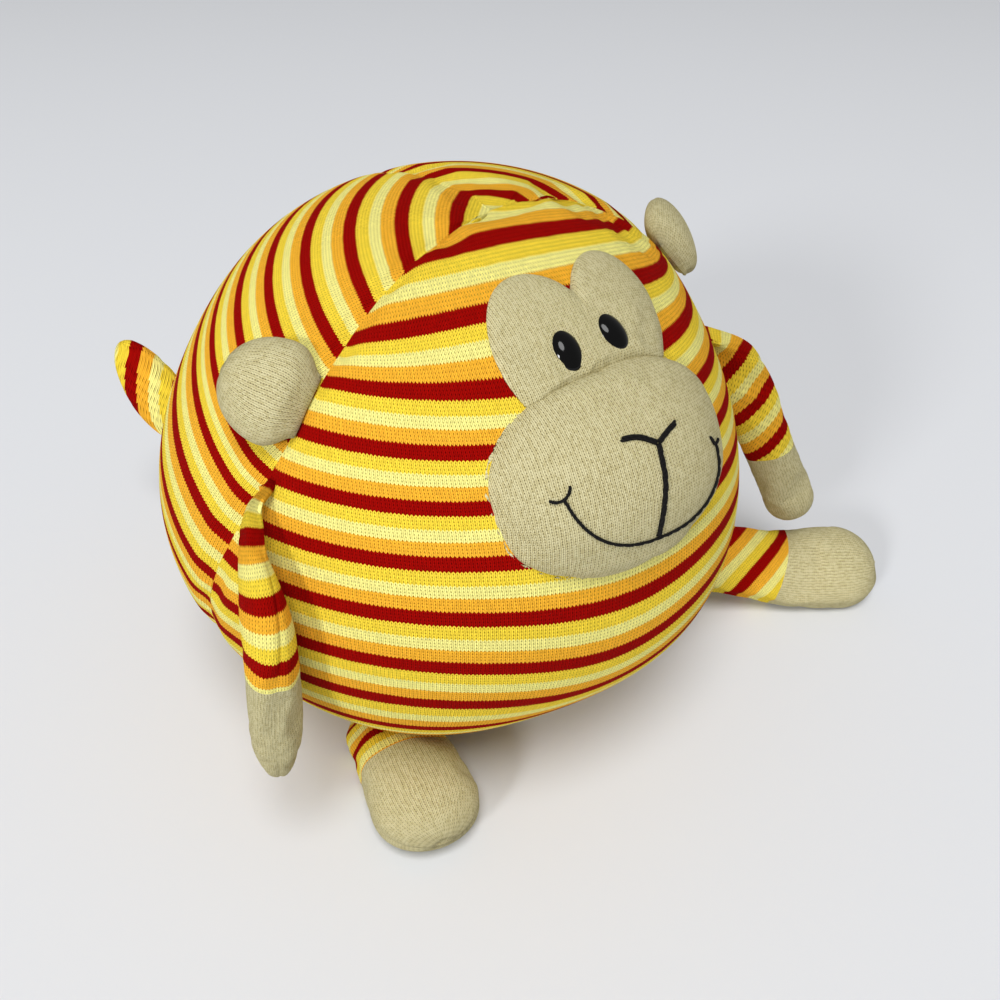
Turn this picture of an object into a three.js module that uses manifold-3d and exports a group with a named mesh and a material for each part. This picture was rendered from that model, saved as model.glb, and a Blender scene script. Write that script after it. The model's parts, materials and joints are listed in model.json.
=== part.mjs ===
// Ball-shaped plush monkey: a stuffed knit ball with a face, ears, arms, legs and a tail sewn into its seams.
// Millimetres, +Z up, origin on the floor under the ball. The face looks along -Y, and +X is its own left.
import * as THREE from 'three';
import { mergeVertices } from 'three/addons/utils/BufferGeometryUtils.js';
import Module from 'manifold-3d';

// Cloth and sewing
const FABRIC = 1.5;
const GAP = 0.3;
const STUFFING_GAP = 0.6;
const SEAM_DRAW = 1.5;
const SEAM_VALLEY = 10;
const SEAM_TIP = 4;

// Ball, with its base pressed flat on the floor and its left cheek pressed in
const BODY_RADIUS = 125;
const BODY_HALF_HEIGHT = 120.5;
const BASE_PRESS = 5.5;
const CHEEK_LON = 52;
const CHEEK_LAT = 4;
const CHEEK_DENT = 7;
const CHEEK_SPREAD = 26;

// Seams as longitude from the face and latitude, in degrees: crown, side of the head, shoulder, hip, base
const CROWN_LAT = 79;
const BASE_LAT = -76;
const RIGHT_SEAM = [[0, CROWN_LAT], [-55, 64], [-71, 27], [-87, -5], [-104, -35], [-180, BASE_LAT]];
const LEFT_SEAM = [[0, CROWN_LAT], [65, 65], [73, 27], [87, -5], [104, -35], [180, BASE_LAT]];
const FRONT_MIDDLE_LAT = -5;

// Muzzle, a stuffed oval on the front panel
const FACE_LON = -6;
const MUZZLE_LAT = 27.5;
const MUZZLE_WIDTH = 102;
const MUZZLE_HEIGHT = 70;
const MUZZLE_DEPTH = 20;
const MUZZLE_SQUARENESS = 2.3;
const MUZZLE_CROWN = 2.4;
const MUZZLE_EDGE = 0.6;

// Eye patch, two oval lobes that meet in a notch above the muzzle
const PATCH_LON = -3;
const PATCH_LAT = 48;
const PATCH_DEPTH = 4;
const PATCH_EDGE = 6;
const LOBE_WIDTH = 40;
const LOBE_HEIGHT = 60;
const LOBE_SPACING = 30;
const LOBE_RISE = 2;

// Safety eyes: an oval dome on a stem, held by a washer behind the front panel
const EYE_WIDTH = 10.5;
const EYE_HEIGHT = 14.5;
const EYE_DEPTH = 5;
const EYE_SPACING = 19.2;
const EYE_SEAT = 0.6;
const WASHER_SEAT = 1.2;
const STEM_RADIUS = 2;
const STEM_TAIL = 3;
const WASHER_RADIUS = 6;
const WASHER_THICKNESS = 1.6;

// Embroidered nose and smile: places on the muzzle, across and up from its middle
const THREAD_RADIUS = 0.9;
const THREAD_LIFT = 0.5;
const NOSE_JOIN = [2, 7];
const NOSE_TIP_RIGHT = [-9, 13];
const NOSE_TIP_LEFT = [11, 12];
const NOSE_CURL = 3;
const SMILE_LOW = [-2, -21.5];
const SMILE_MID_ACROSS = 20;
const SMILE_MID_UP = -15;
const SMILE_END_ACROSS = 29;
const SMILE_END_UP = 0;
const TICK_ACROSS = 3;
const TICK_UP = 2;

// Ears: stuffed ovals sewn into the side seams, leaning back
const EAR_LON = 68;
const EAR_LAT = 40.5;
const EAR_TILT = 6;
const EAR_LEAN = 62;
const EAR_LENGTH = 29;
const EAR_WIDTH = 35;
const EAR_ROOT = 25;
const EAR_THICKNESS = 12;

// Arms: stuffed tubes sewn into the side seams at the shoulder, with a plain paw. The right one is gathered
// narrower at its root, turns edge on as it hangs and has the longer paw
const ARM_LENGTH = 130;
const ARM_WIDTH = 27;
const ARM_THICKNESS = 18;
const ARM_RIGHT_ROOT = 13;
const ARM_LEFT_ROOT = 24;
const ARM_RIGHT_SWELL = 60;
const ARM_RIGHT_TWIST = 95;
const PAW_WIDTH = 26;
const PAW_RIGHT_LENGTH = 60;
const PAW_LEFT_LENGTH = 47;
const PAW_RIGHT_ROUND = 28;
const PAW_LEFT_ROUND = 16;
const ARM_RIGHT_LAT = 25;
const ARM_LEFT_LAT = 17;
const ARM_RIGHT_LON = -70;
const ARM_LEFT_LON = 74;
// Bends of each arm from its root: outward, downward and forward
const ARM_RIGHT_BENDS = [[5, 6, 0], [8, 18, 4], [2.5, 44, 11]];
const ARM_RIGHT_HANG = [-0.42, 0.905, -0.08];
const ARM_LEFT_BENDS = [[5, 6, 0], [10, 16, 2], [14, 36, 6]];
const ARM_LEFT_HANG = [0.12, 0.97, 0.18];
// Width of each arm's free end, as a longitude from the face and a latitude
const ARM_RIGHT_FACING = [-25, 0];
const ARM_LEFT_FACING = [-129, -29];

// Legs: stuffed tubes that lie on the floor, with a plain foot
const LEG_RIGHT_LENGTH = 91;
const LEG_LEFT_LENGTH = 127;
const LEG_WIDTH = 41;
const LEG_ROOT = 22;
const LEG_THICKNESS = 25;
const FOOT_RIGHT_LENGTH = 43;
const FOOT_LEFT_LENGTH = 49;
const FOOT_WIDTH = 47;
// Each leg: where it leaves the ball, its heading from the face, and its bends as distance along and height
const LEG_RIGHT_LON = -80;
const LEG_RIGHT_LAT = -60;
const LEG_RIGHT_HEADING = -14;
const LEG_RIGHT_ROLL = 0;
const LEG_RIGHT_DROP = 6.8;
const LEG_RIGHT_BENDS = [[12, 5], [26, 7.5], [46, 12]];
const LEG_LEFT_LON = 70;
const LEG_LEFT_LAT = -36;
const LEG_LEFT_HEADING = 54.7;
const LEG_LEFT_ROLL = 24;
const LEG_LEFT_BENDS = [[12, 34], [30, 26], [50, 20], [72, 15.3]];

// Tail: a stuffed tube sewn into the centre back seam, swung to the right with its tip turned up
const TAIL_LAT = -13;
const TAIL_LENGTH = 134;
const TAIL_WIDTH = 35;
const TAIL_END_WIDTH = 33;
const TAIL_ROOT = 28;
const TAIL_THICKNESS = 18;
// Bends of the tail from its root: outward, to the right and upward
const TAIL_BENDS = [[10, 5, 0], [28, 29, -6], [45, 50, -11], [55, 61, -4]];
const TAIL_HANG = [0.45, 0.3, 0.9];

// How every stuffed limb starts and ends
const PINCH = 4.4;
const ROOT_GAP = 0.2;
const SWELL = 26;
const TWIST = 48;
const EAR_SWELL = 14;
const STUFFING_START = 0.45;
const TAIL_ROUND = 45;
const FOOT_ROUND = 22;
const EAR_ROUND = 21;

// Facets
const SEAM_STEPS = 18;
const FRONT_RINGS = 8;
const BACK_COLUMNS = 8;
const FACE_STEPS = 28;
const FACE_RINGS = 6;
const LIMB_ARC = 5;
const SLEEVE_ROWS = 10;
const END_ROWS = 6;
const ROUND_STEPS = 16;
const THREAD_SIDES = 3;
const THREAD_STEP = 4;
const SAME_POINT = 1e-4;

const DEGREE = Math.PI / 180;
const BODY_CENTRE_Z = BODY_HALF_HEIGHT - BASE_PRESS;
const UP = new THREE.Vector3(0, 0, 1);
const bodyCentre = new THREE.Vector3(0, 0, BODY_CENTRE_Z);

const wasm = await Module();
wasm.setup();

const finish = (color, roughness) => new THREE.MeshStandardMaterial({ color, roughness, metalness: 0 });
const STRIPED_KNIT = finish(0xe9bd45, 0.95);
const PLAIN_KNIT = finish(0xc3b794, 0.95);
const STUFFING = finish(0xf4f2ea, 1);
const EYE_PLASTIC = finish(0x0a0a0a, 0.08);
const WASHER_PLASTIC = finish(0xe6e6e2, 0.5);
const THREAD = finish(0x14110f, 0.7);

// Direction from the middle of the ball at a longitude from the face and a latitude
function direction(lon, lat) {
  const across = Math.cos(lat * DEGREE);
  return new THREE.Vector3(
    across * Math.sin(lon * DEGREE),
    -across * Math.cos(lon * DEGREE),
    Math.sin(lat * DEGREE),
  );
}

// Direction a share of the way along the shortest arc between two others
function between(from, to, share) {
  const angle = from.angleTo(to);
  if (angle < SAME_POINT) {
    return from.clone();
  }
  const start = Math.sin((1 - share) * angle) / Math.sin(angle);
  const end = Math.sin(share * angle) / Math.sin(angle);
  return from.clone().multiplyScalar(start).addScaledVector(to, end);
}

// Point of the ball in a direction, inset from its outer face and drawn in along a seam
const CHEEK = direction(CHEEK_LON, CHEEK_LAT);
function onBody(toward, inset, draw = 0) {
  const away = toward.angleTo(CHEEK) / (CHEEK_SPREAD * DEGREE);
  const reach = -inset - draw - CHEEK_DENT * Math.exp(-away * away);
  const point = new THREE.Vector3(
    toward.x * (BODY_RADIUS + reach),
    toward.y * (BODY_RADIUS + reach),
    BODY_CENTRE_Z + toward.z * (BODY_HALF_HEIGHT + reach),
  );
  point.z = Math.max(point.z, inset, 0);
  return point;
}

// A place on the ball with its outward normal and the tangents down and towards the face
function bodyFrame(lon, lat) {
  const toward = direction(lon, lat);
  const out = new THREE.Vector3(
    toward.x / BODY_RADIUS,
    toward.y / BODY_RADIUS,
    toward.z / BODY_HALF_HEIGHT,
  ).normalize();
  const side = new THREE.Vector3(Math.cos(lon * DEGREE), Math.sin(lon * DEGREE), 0);
  const front = side.multiplyScalar(lon > 0 ? -1 : 1);
  const down = front.clone().cross(out);
  down.multiplyScalar(-Math.sign(down.z));
  return { point: onBody(toward, 0), out, down, front };
}

// Moves a point of a limb clear of the ball and of the floor
function pressedAside(point, inset) {
  const scale = new THREE.Vector3(BODY_RADIUS, BODY_RADIUS, BODY_HALF_HEIGHT);
  const toward = point.clone().sub(bodyCentre).divide(scale).normalize();
  const nearest = onBody(toward, -GAP - inset);
  if (point.distanceTo(bodyCentre) < nearest.distanceTo(bodyCentre)) {
    point.copy(nearest);
  }
  point.z = Math.max(point.z, inset);
  return point;
}

// Faces of a grid of points, with points that fall together counted once
function gridFaces(rows, closed) {
  const columns = rows[0].length;
  const points = rows.flat();
  const seen = new Map();
  const first = points.map((point, index) => {
    const key = point.toArray().map((value) => Math.round(value / SAME_POINT)).join();
    if (!seen.has(key)) {
      seen.set(key, index);
    }
    return seen.get(key);
  });
  const faces = [];
  const addFace = (a, b, c) => {
    const face = [first[a], first[b], first[c]];
    if (new Set(face).size === face.length) {
      faces.push(face);
    }
  };
  const last = closed ? columns : columns - 1;
  for (let row = 0; row + 1 < rows.length; row += 1) {
    for (let column = 0; column < last; column += 1) {
      const next = (column + 1) % columns;
      const here = row * columns;
      const beyond = here + columns;
      addFace(here + column, beyond + column, beyond + next);
      addFace(here + column, beyond + next, here + next);
    }
  }
  return { points, faces };
}

// Closed geometry of points and faces, turned so that its faces point out
function closedGeometry(points, faces) {
  const volume = faces.reduce((sum, [a, b, c]) => {
    const cross = points[b].clone().cross(points[c]);
    return sum + points[a].dot(cross);
  }, 0);
  const outward = volume > 0 ? faces : faces.map(([a, b, c]) => [a, c, b]);
  const geometry = new THREE.BufferGeometry().setFromPoints(points);
  geometry.setIndex(outward.flat());
  const merged = mergeVertices(geometry.toNonIndexed(), SAME_POINT);
  merged.computeVertexNormals();
  return merged;
}

// Cloth between an outer and an inner grid, closed by a rim along every free edge
function cloth(outer, inner, closed = false) {
  const { points, faces } = gridFaces(outer, closed);
  const count = points.length;
  const edges = new Set(faces.flatMap(([a, b, c]) => [`${a},${b}`, `${b},${c}`, `${c},${a}`]));
  const all = [...faces];
  faces.forEach(([a, b, c]) => all.push([a + count, c + count, b + count]));
  edges.forEach((edge) => {
    const [a, b] = edge.split(',').map(Number);
    if (!edges.has(`${b},${a}`)) {
      all.push([b, a, Math.max(a, b) + count]);
      all.push([Math.min(a, b), a + count, b + count]);
    }
  });
  return closedGeometry([...points, ...inner.flat()], all);
}

// Solid inside grids that meet along shared edges, each turned away from a point inside
function filled(grids, inside) {
  const points = [];
  const faces = [];
  grids.forEach(({ rows, closed }) => {
    const grid = gridFaces(rows, closed);
    const facing = grid.faces.reduce((sum, [a, b, c]) => {
      const [p, q, r] = [grid.points[a], grid.points[b], grid.points[c]];
      const normal = q.clone().sub(p).cross(r.clone().sub(p));
      return sum + normal.dot(p.clone().sub(inside));
    }, 0);
    const start = points.length;
    points.push(...grid.points);
    grid.faces.forEach(([a, b, c]) => {
      const face = facing > 0 ? [a, b, c] : [a, c, b];
      faces.push(face.map((index) => index + start));
    });
  });
  return closedGeometry(points, faces);
}

// Joins and cuts of closed geometry
function asSolid(geometry) {
  const bare = geometry.clone();
  bare.deleteAttribute('normal');
  bare.deleteAttribute('uv');
  const merged = mergeVertices(bare, SAME_POINT);
  return new wasm.Manifold(new wasm.Mesh({
    numProp: 3,
    vertProperties: new Float32Array(merged.attributes.position.array),
    triVerts: new Uint32Array(merged.index.array),
  }));
}

function asGeometry(solid) {
  const { vertProperties, triVerts } = solid.getMesh();
  const geometry = new THREE.BufferGeometry();
  geometry.setAttribute('position', new THREE.BufferAttribute(vertProperties, 3));
  geometry.setIndex(new THREE.BufferAttribute(triVerts, 1));
  geometry.computeVertexNormals();
  return geometry;
}

const joined = (geometries) => asGeometry(geometries.map(asSolid).reduce((whole, piece) => whole.add(piece)));

function cut(geometry, tools) {
  return asGeometry(tools.map(asSolid).reduce((whole, tool) => whole.subtract(tool), asSolid(geometry)));
}

// Seams of the ball as curves of directions
const seamDraw = (distance) => SEAM_DRAW * Math.exp(-((distance / SEAM_VALLEY) ** 2));
const seamCurve = (places) => new THREE.CatmullRomCurve3(places.map(([lon, lat]) => direction(lon, lat)));
const rightSeamCurve = seamCurve(RIGHT_SEAM);
const leftSeamCurve = seamCurve(LEFT_SEAM);
const rightSeam = (share) => rightSeamCurve.getPointAt(share).normalize();
const leftSeam = (share) => leftSeamCurve.getPointAt(share).normalize();
function backSeam(share) {
  const end = 180 - BASE_LAT;
  return direction(0, CROWN_LAT + share * (end - CROWN_LAT));
}

// Front panel, in rings from its middle out to the side seams
function frontRows(inset, trim) {
  const middle = direction(0, FRONT_MIDDLE_LAT);
  const edge = [];
  for (let step = 0; step < SEAM_STEPS; step += 1) {
    edge.push(rightSeam(step / SEAM_STEPS));
  }
  for (let step = SEAM_STEPS; step > 0; step -= 1) {
    edge.push(leftSeam(step / SEAM_STEPS));
  }
  return Array.from({ length: FRONT_RINGS + 1 }, (_, ring) => edge.map((seam) => {
    const span = BODY_RADIUS * middle.angleTo(seam);
    const share = (ring / FRONT_RINGS) * (1 - trim / span);
    return onBody(between(middle, seam, share), inset, seamDraw((1 - share) * span));
  }));
}

// Back panel, in rows from the crown to the base, each from its side seam to the centre back seam
function backRows(sideSeam, inset, trim) {
  return Array.from({ length: SEAM_STEPS + 1 }, (_, row) => {
    const tip = trim > 0 ? SEAM_TIP / (BODY_RADIUS * Math.PI) : 0;
    const share = Math.min(Math.max(row / SEAM_STEPS, tip), 1 - tip);
    const side = sideSeam(share);
    const back = backSeam(share);
    const span = BODY_RADIUS * side.angleTo(back);
    const margin = trim > 0 ? trim / span : 0;
    return Array.from({ length: BACK_COLUMNS + 1 }, (__, column) => {
      const across = margin + (column / BACK_COLUMNS) * (1 - 2 * margin);
      const draw = seamDraw(Math.min(across, 1 - across) * span);
      return onBody(between(side, back, across), inset, draw);
    });
  });
}

const seamTrim = GAP / 2;
const stuffingInset = FABRIC + STUFFING_GAP;

// Face: places at an angle and a distance from a middle on the ball, raised above the front panel
function facePoint([lon, lat], angle, distance, height) {
  const middle = direction(lon, lat);
  const east = direction(lon + 90, 0);
  const north = direction(lon, lat + 90);
  const turn = distance / BODY_RADIUS;
  const toward = middle.multiplyScalar(Math.cos(turn));
  toward.addScaledVector(east, Math.cos(angle) * Math.sin(turn));
  toward.addScaledVector(north, Math.sin(angle) * Math.sin(turn));
  return onBody(toward, -GAP - height);
}

const muzzlePlace = [FACE_LON, MUZZLE_LAT];
const patchPlace = [PATCH_LON, PATCH_LAT];
const eyesPlace = [FACE_LON, PATCH_LAT];
const faceAngles = Array.from({ length: FACE_STEPS }, (_, step) => (step / FACE_STEPS) * 2 * Math.PI);

function faceRows(place, outline, heightAt, rings) {
  return Array.from({ length: rings + 1 }, (_, ring) => {
    const share = ring / rings;
    return faceAngles.map((angle) => facePoint(place, angle, share * outline(angle), heightAt(share)));
  });
}

function muzzleOutline(angle, inset) {
  const across = Math.abs(Math.cos(angle)) / (MUZZLE_WIDTH / 2 - inset);
  const up = Math.abs(Math.sin(angle)) / (MUZZLE_HEIGHT / 2 - inset);
  return (across ** MUZZLE_SQUARENESS + up ** MUZZLE_SQUARENESS) ** (-1 / MUZZLE_SQUARENESS);
}

const muzzleHeight = (share, inset) => (MUZZLE_DEPTH - inset) * (1 - share ** MUZZLE_CROWN) ** MUZZLE_EDGE;

function muzzleRows(inset) {
  const outline = (angle) => muzzleOutline(angle, inset);
  return faceRows(muzzlePlace, outline, (share) => muzzleHeight(share, inset), FACE_RINGS);
}

// Point above the muzzle's cover at a place across and up from its middle
function onMuzzle([across, up], lift) {
  const angle = Math.atan2(up, across);
  const distance = Math.hypot(across, up);
  const share = distance / muzzleOutline(angle, 0);
  return facePoint(muzzlePlace, angle, distance, muzzleHeight(share, 0) + lift);
}

// Block that stands where the muzzle does, for trimming what its edge covers
function muzzleBlock() {
  const edge = (angle) => muzzleOutline(angle, -GAP);
  const top = faceRows(muzzlePlace, edge, () => MUZZLE_DEPTH, 1);
  const bottom = faceRows(muzzlePlace, edge, () => -MUZZLE_DEPTH, 1);
  return closedGeometry(...Object.values(gridFaces([...top, ...bottom.reverse()], true)));
}

// Union of the two lobes, measured from the middle of the patch
function patchOutline(angle) {
  const across = Math.cos(angle) / (LOBE_WIDTH / 2);
  const up = Math.sin(angle) / (LOBE_HEIGHT / 2);
  const reach = (side) => {
    const middleAcross = (side * LOBE_SPACING) / LOBE_WIDTH;
    const middleUp = LOBE_RISE / (LOBE_HEIGHT / 2);
    const steep = across ** 2 + up ** 2;
    const slope = across * middleAcross + up * middleUp;
    const rest = middleAcross ** 2 + middleUp ** 2 - 1;
    return (slope + Math.sqrt(slope ** 2 - steep * rest)) / steep;
  };
  return Math.max(reach(-1), reach(1));
}

const patchHeight = (share) => PATCH_DEPTH * Math.sqrt(1 - share ** PATCH_EDGE);

function patchGeometry() {
  const top = faceRows(patchPlace, patchOutline, patchHeight, FACE_RINGS);
  const base = faceRows(patchPlace, patchOutline, () => 0, FACE_RINGS);
  const rows = [...top, ...base.reverse().slice(1)];
  return closedGeometry(...Object.values(gridFaces(rows, true)));
}

// Place of an eye: Z out of the patch, Y up, with the origin on the patch's top
function eyePlace(side) {
  const angle = side > 0 ? 0 : Math.PI;
  const seat = facePoint(eyesPlace, angle, EYE_SPACING / 2, PATCH_DEPTH);
  const out = seat.clone().sub(facePoint(eyesPlace, angle, EYE_SPACING / 2, 0)).normalize();
  const across = UP.clone().cross(out).normalize();
  const up = out.clone().cross(across);
  return new THREE.Matrix4().makeBasis(across, up, out).setPosition(seat);
}

// Upright cylinder between two heights
function post(radius, low, high) {
  const geometry = new THREE.CylinderGeometry(radius, radius, high - low, ROUND_STEPS);
  geometry.rotateX(Math.PI / 2);
  geometry.translate(0, 0, (low + high) / 2);
  return geometry;
}

const panelBack = -(PATCH_DEPTH + GAP + FABRIC);
const washerTop = panelBack - WASHER_SEAT;
const stemEnd = washerTop - WASHER_THICKNESS - STEM_TAIL;

function eyeGeometry(place) {
  const quarter = Array.from({ length: LIMB_ARC + 1 }, (_, step) => (step / LIMB_ARC) * (Math.PI / 2));
  const profile = quarter.map((turn) => new THREE.Vector2(Math.cos(turn), Math.sin(turn)));
  profile[LIMB_ARC].x = 0;
  const dome = new THREE.LatheGeometry([new THREE.Vector2(0, 0), ...profile], ROUND_STEPS);
  dome.rotateX(Math.PI / 2);
  dome.scale(EYE_WIDTH / 2, EYE_HEIGHT / 2, EYE_DEPTH);
  dome.translate(0, 0, EYE_SEAT);
  return joined([dome, post(STEM_RADIUS, stemEnd, EYE_SEAT + EYE_DEPTH / 2)]).applyMatrix4(place);
}

function washerGeometry(place) {
  const low = washerTop - WASHER_THICKNESS;
  const disc = post(WASHER_RADIUS, low, washerTop);
  const bore = post(STEM_RADIUS + GAP, low - WASHER_THICKNESS, washerTop + WASHER_THICKNESS);
  return cut(disc, [bore]).applyMatrix4(place);
}

const stemBore = (place) => post(STEM_RADIUS + GAP, stemEnd, EYE_DEPTH).applyMatrix4(place);
const washerPocket = (place) => post(WASHER_RADIUS + GAP, stemEnd - GAP, 0).applyMatrix4(place);

// Thread laid along places on the muzzle
function stitch(places) {
  const flat = new THREE.SplineCurve(places.map(([across, up]) => new THREE.Vector2(across, up)));
  const steps = Math.ceil(flat.getLength() / THREAD_STEP);
  const laid = flat.getSpacedPoints(steps);
  const points = laid.map((place) => onMuzzle(place.toArray(), THREAD_RADIUS + THREAD_LIFT));
  const path = new THREE.CatmullRomCurve3(points);
  const section = new THREE.Shape().absarc(0, 0, THREAD_RADIUS, 0, 2 * Math.PI);
  return new THREE.ExtrudeGeometry(section, { steps, extrudePath: path, curveSegments: THREAD_SIDES });
}

function noseGeometry() {
  const curl = ([across, up]) => [across / 2, (up + NOSE_JOIN[1]) / 2 + NOSE_CURL / 2];
  const lineEnd = [SMILE_LOW[0], SMILE_LOW[1] + 2 * THREAD_RADIUS + THREAD_LIFT];
  const lineMiddle = [NOSE_JOIN[0], (NOSE_JOIN[1] + lineEnd[1]) / 2];
  return joined([
    stitch([NOSE_JOIN, lineMiddle, lineEnd]),
    stitch([NOSE_JOIN, curl(NOSE_TIP_RIGHT), NOSE_TIP_RIGHT]),
    stitch([NOSE_JOIN, curl(NOSE_TIP_LEFT), NOSE_TIP_LEFT]),
  ]);
}

function smileGeometry() {
  const end = (side) => [side * SMILE_END_ACROSS, SMILE_END_UP];
  const middle = (side) => [side * SMILE_MID_ACROSS, SMILE_MID_UP];
  const tick = (side) => stitch([
    [side * (SMILE_END_ACROSS + TICK_ACROSS), SMILE_END_UP - TICK_UP / 2],
    end(side),
    [side * (SMILE_END_ACROSS - TICK_ACROSS), SMILE_END_UP + TICK_UP],
  ]);
  return joined([stitch([end(-1), middle(-1), SMILE_LOW, middle(1), end(1)]), tick(-1), tick(1)]);
}

// Centre line of a limb: its bends, then straight on until it has its length
function limbCurve(points, heading, length) {
  const bends = new THREE.CatmullRomCurve3(points);
  const rest = length - bends.getLength();
  const end = points.at(-1).clone().addScaledVector(heading, rest);
  return new THREE.CatmullRomCurve3([...points, end]);
}

const blend = (from, to, share) => from + (to - from) * THREE.MathUtils.smoothstep(share, 0, 1);

// Half width and half thickness of a limb at a distance along it, for a layer inset from its outer face
function limbSize(limb, length, along, inset) {
  const full = blend(0, 1, along / limb.swell);
  const flareStart = length - limb.cuff - limb.cuff / 2;
  const toEnd = blend(0, 1, (along - flareStart) / limb.cuff);
  const past = Math.max(0, along - (length - limb.round)) / (limb.round - inset);
  const tip = Math.sqrt(Math.max(0, 1 - past * past));
  const root = Math.sqrt(1 - Math.max(0, 1 - along / (PINCH / 2)) ** 2);
  const width = blend(limb.root, blend(limb.width, limb.endWidth, toEnd), full) / 2;
  const thickness = blend(PINCH, limb.thickness, full) / 2;
  return { width: (width - inset) * tip, thickness: (thickness - inset) * tip * (inset > 0 ? 1 : root) };
}

// Point on a limb's section, at an angle from its width towards its outer face
function limbPoint(limb, along, angle, inset, offset = 0) {
  const length = limb.curve.getLength();
  const size = limbSize(limb, length, along, inset);
  const share = Math.min(along / length, 1);
  const tangent = limb.curve.getTangentAt(share);
  const facing = limb.across.clone().lerp(limb.endAcross, blend(0, 1, along / limb.twist));
  const across = facing.addScaledVector(tangent, -facing.dot(tangent)).normalize();
  const outward = tangent.clone().cross(across);
  const point = limb.curve.getPointAt(share);
  point.addScaledVector(across, size.width * Math.cos(angle));
  point.addScaledVector(outward, size.thickness * Math.sin(angle) + offset);
  return along < PINCH ? point : pressedAside(point, inset);
}

// Distance along a limb for a layer inset from its outer face
function layerPlace(limb, along, inset) {
  const length = limb.curve.getLength();
  return inset + (length - 2 * inset) * (along / length);
}

// Places of a limb's sections, close together at its root and at its tip
function sleevePlaces(limb) {
  const end = limb.curve.getLength() - limb.cuff;
  return Array.from({ length: SLEEVE_ROWS + 1 }, (_, row) => (
    end * (1 - Math.cos((row / SLEEVE_ROWS) * (Math.PI / 2)))
  ));
}

function endPlaces(limb) {
  const start = limb.curve.getLength() - limb.cuff;
  return Array.from({ length: END_ROWS + 1 }, (_, row) => (
    start + limb.cuff * Math.sin((row / END_ROWS) * (Math.PI / 2))
  ));
}

// Half of a limb's cover through some of its sections, on its outer side or its inner side
function limbCloth(limb, places, side) {
  const start = side > 0 ? 0 : LIMB_ARC;
  const rows = (inset) => places.map((place) => (
    Array.from({ length: LIMB_ARC + 1 }, (_, step) => {
      const angle = ((start + step) * Math.PI) / LIMB_ARC;
      return limbPoint(limb, layerPlace(limb, place, inset), angle, inset, side * seamTrim);
    })
  ));
  return cloth(rows(0), rows(FABRIC));
}

function limbStuffing(limb) {
  const begin = STUFFING_START * limb.swell;
  const places = [...sleevePlaces(limb).filter((place) => place > begin), ...endPlaces(limb).slice(1)];
  const rings = places.map((place) => (
    Array.from({ length: 2 * LIMB_ARC }, (_, step) => {
      const angle = (step * Math.PI) / LIMB_ARC;
      return limbPoint(limb, layerPlace(limb, place, stuffingInset), angle, stuffingInset);
    })
  ));
  const cap = rings[0].reduce((sum, point) => sum.add(point), new THREE.Vector3());
  cap.divideScalar(rings[0].length);
  const rows = [rings[0].map(() => cap), ...rings];
  return closedGeometry(...Object.values(gridFaces(rows, true)));
}

// Group whose origin is a limb's hinge, with its X axis along the hinge
function hinge(name, pivot, axis) {
  const group = new THREE.Group();
  group.name = name;
  group.position.copy(pivot);
  group.quaternion.setFromUnitVectors(new THREE.Vector3(1, 0, 0), axis);
  group.updateMatrixWorld();
  return group;
}

function named(name, geometry, material, group) {
  const mesh = new THREE.Mesh(geometry, material);
  mesh.name = name;
  geometry.applyMatrix4(group.matrixWorld.clone().invert());
  group.add(mesh);
  return mesh;
}

const monkey = new THREE.Group();
monkey.name = 'plush_monkey';

// Body, face and eyes
const eyePlaces = { right: eyePlace(-1), left: eyePlace(1) };
const stemBores = Object.values(eyePlaces).map(stemBore);
const pockets = Object.values(eyePlaces).map(washerPocket);
const frontPanel = cloth(frontRows(0, seamTrim), frontRows(FABRIC, seamTrim), true);
const rightBackPanel = cloth(backRows(rightSeam, 0, seamTrim), backRows(rightSeam, FABRIC, seamTrim));
const leftBackPanel = cloth(backRows(leftSeam, 0, seamTrim), backRows(leftSeam, FABRIC, seamTrim));
const bodyStuffing = filled([
  { rows: frontRows(stuffingInset, 0), closed: true },
  { rows: backRows(rightSeam, stuffingInset, 0), closed: false },
  { rows: backRows(leftSeam, stuffingInset, 0), closed: false },
], bodyCentre);
const muzzleFloor = (angle) => muzzleOutline(angle, stuffingInset);
const muzzleInside = [
  ...muzzleRows(stuffingInset),
  ...faceRows(muzzlePlace, muzzleFloor, () => 0, FACE_RINGS).reverse().slice(1),
];
const panels = [
  named('body_front_panel', cut(frontPanel, stemBores), STRIPED_KNIT, monkey),
  named('body_back_right_panel', rightBackPanel, STRIPED_KNIT, monkey),
  named('body_back_left_panel', leftBackPanel, STRIPED_KNIT, monkey),
];
named('body_filling', cut(bodyStuffing, pockets), STUFFING, monkey);
named('eye_patch', cut(patchGeometry(), [muzzleBlock(), ...stemBores]), PLAIN_KNIT, monkey);
named('muzzle_cover', cloth(muzzleRows(0), muzzleRows(FABRIC), true), PLAIN_KNIT, monkey);
named('muzzle_filling', closedGeometry(...Object.values(gridFaces(muzzleInside, true))), STUFFING, monkey);
Object.entries(eyePlaces).forEach(([side, place]) => {
  named(`eye_${side}`, eyeGeometry(place), EYE_PLASTIC, monkey);
  named(`eye_${side}_washer`, washerGeometry(place), WASHER_PLASTIC, monkey);
});
named('nose_embroidery', noseGeometry(), THREAD, monkey);
named('smile_embroidery', smileGeometry(), THREAD, monkey);

// Centre line from a hinge: starts half a pinch behind it, then follows the bends
function limbPath(pivot, offsets, heading, length) {
  const bends = offsets.map((offset) => pivot.clone().add(offset));
  const start = pivot.clone().addScaledVector(offsets[0].clone().normalize(), -PINCH / 2);
  return limbCurve([start, pivot.clone(), ...bends], heading.clone().normalize(), length);
}

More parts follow.
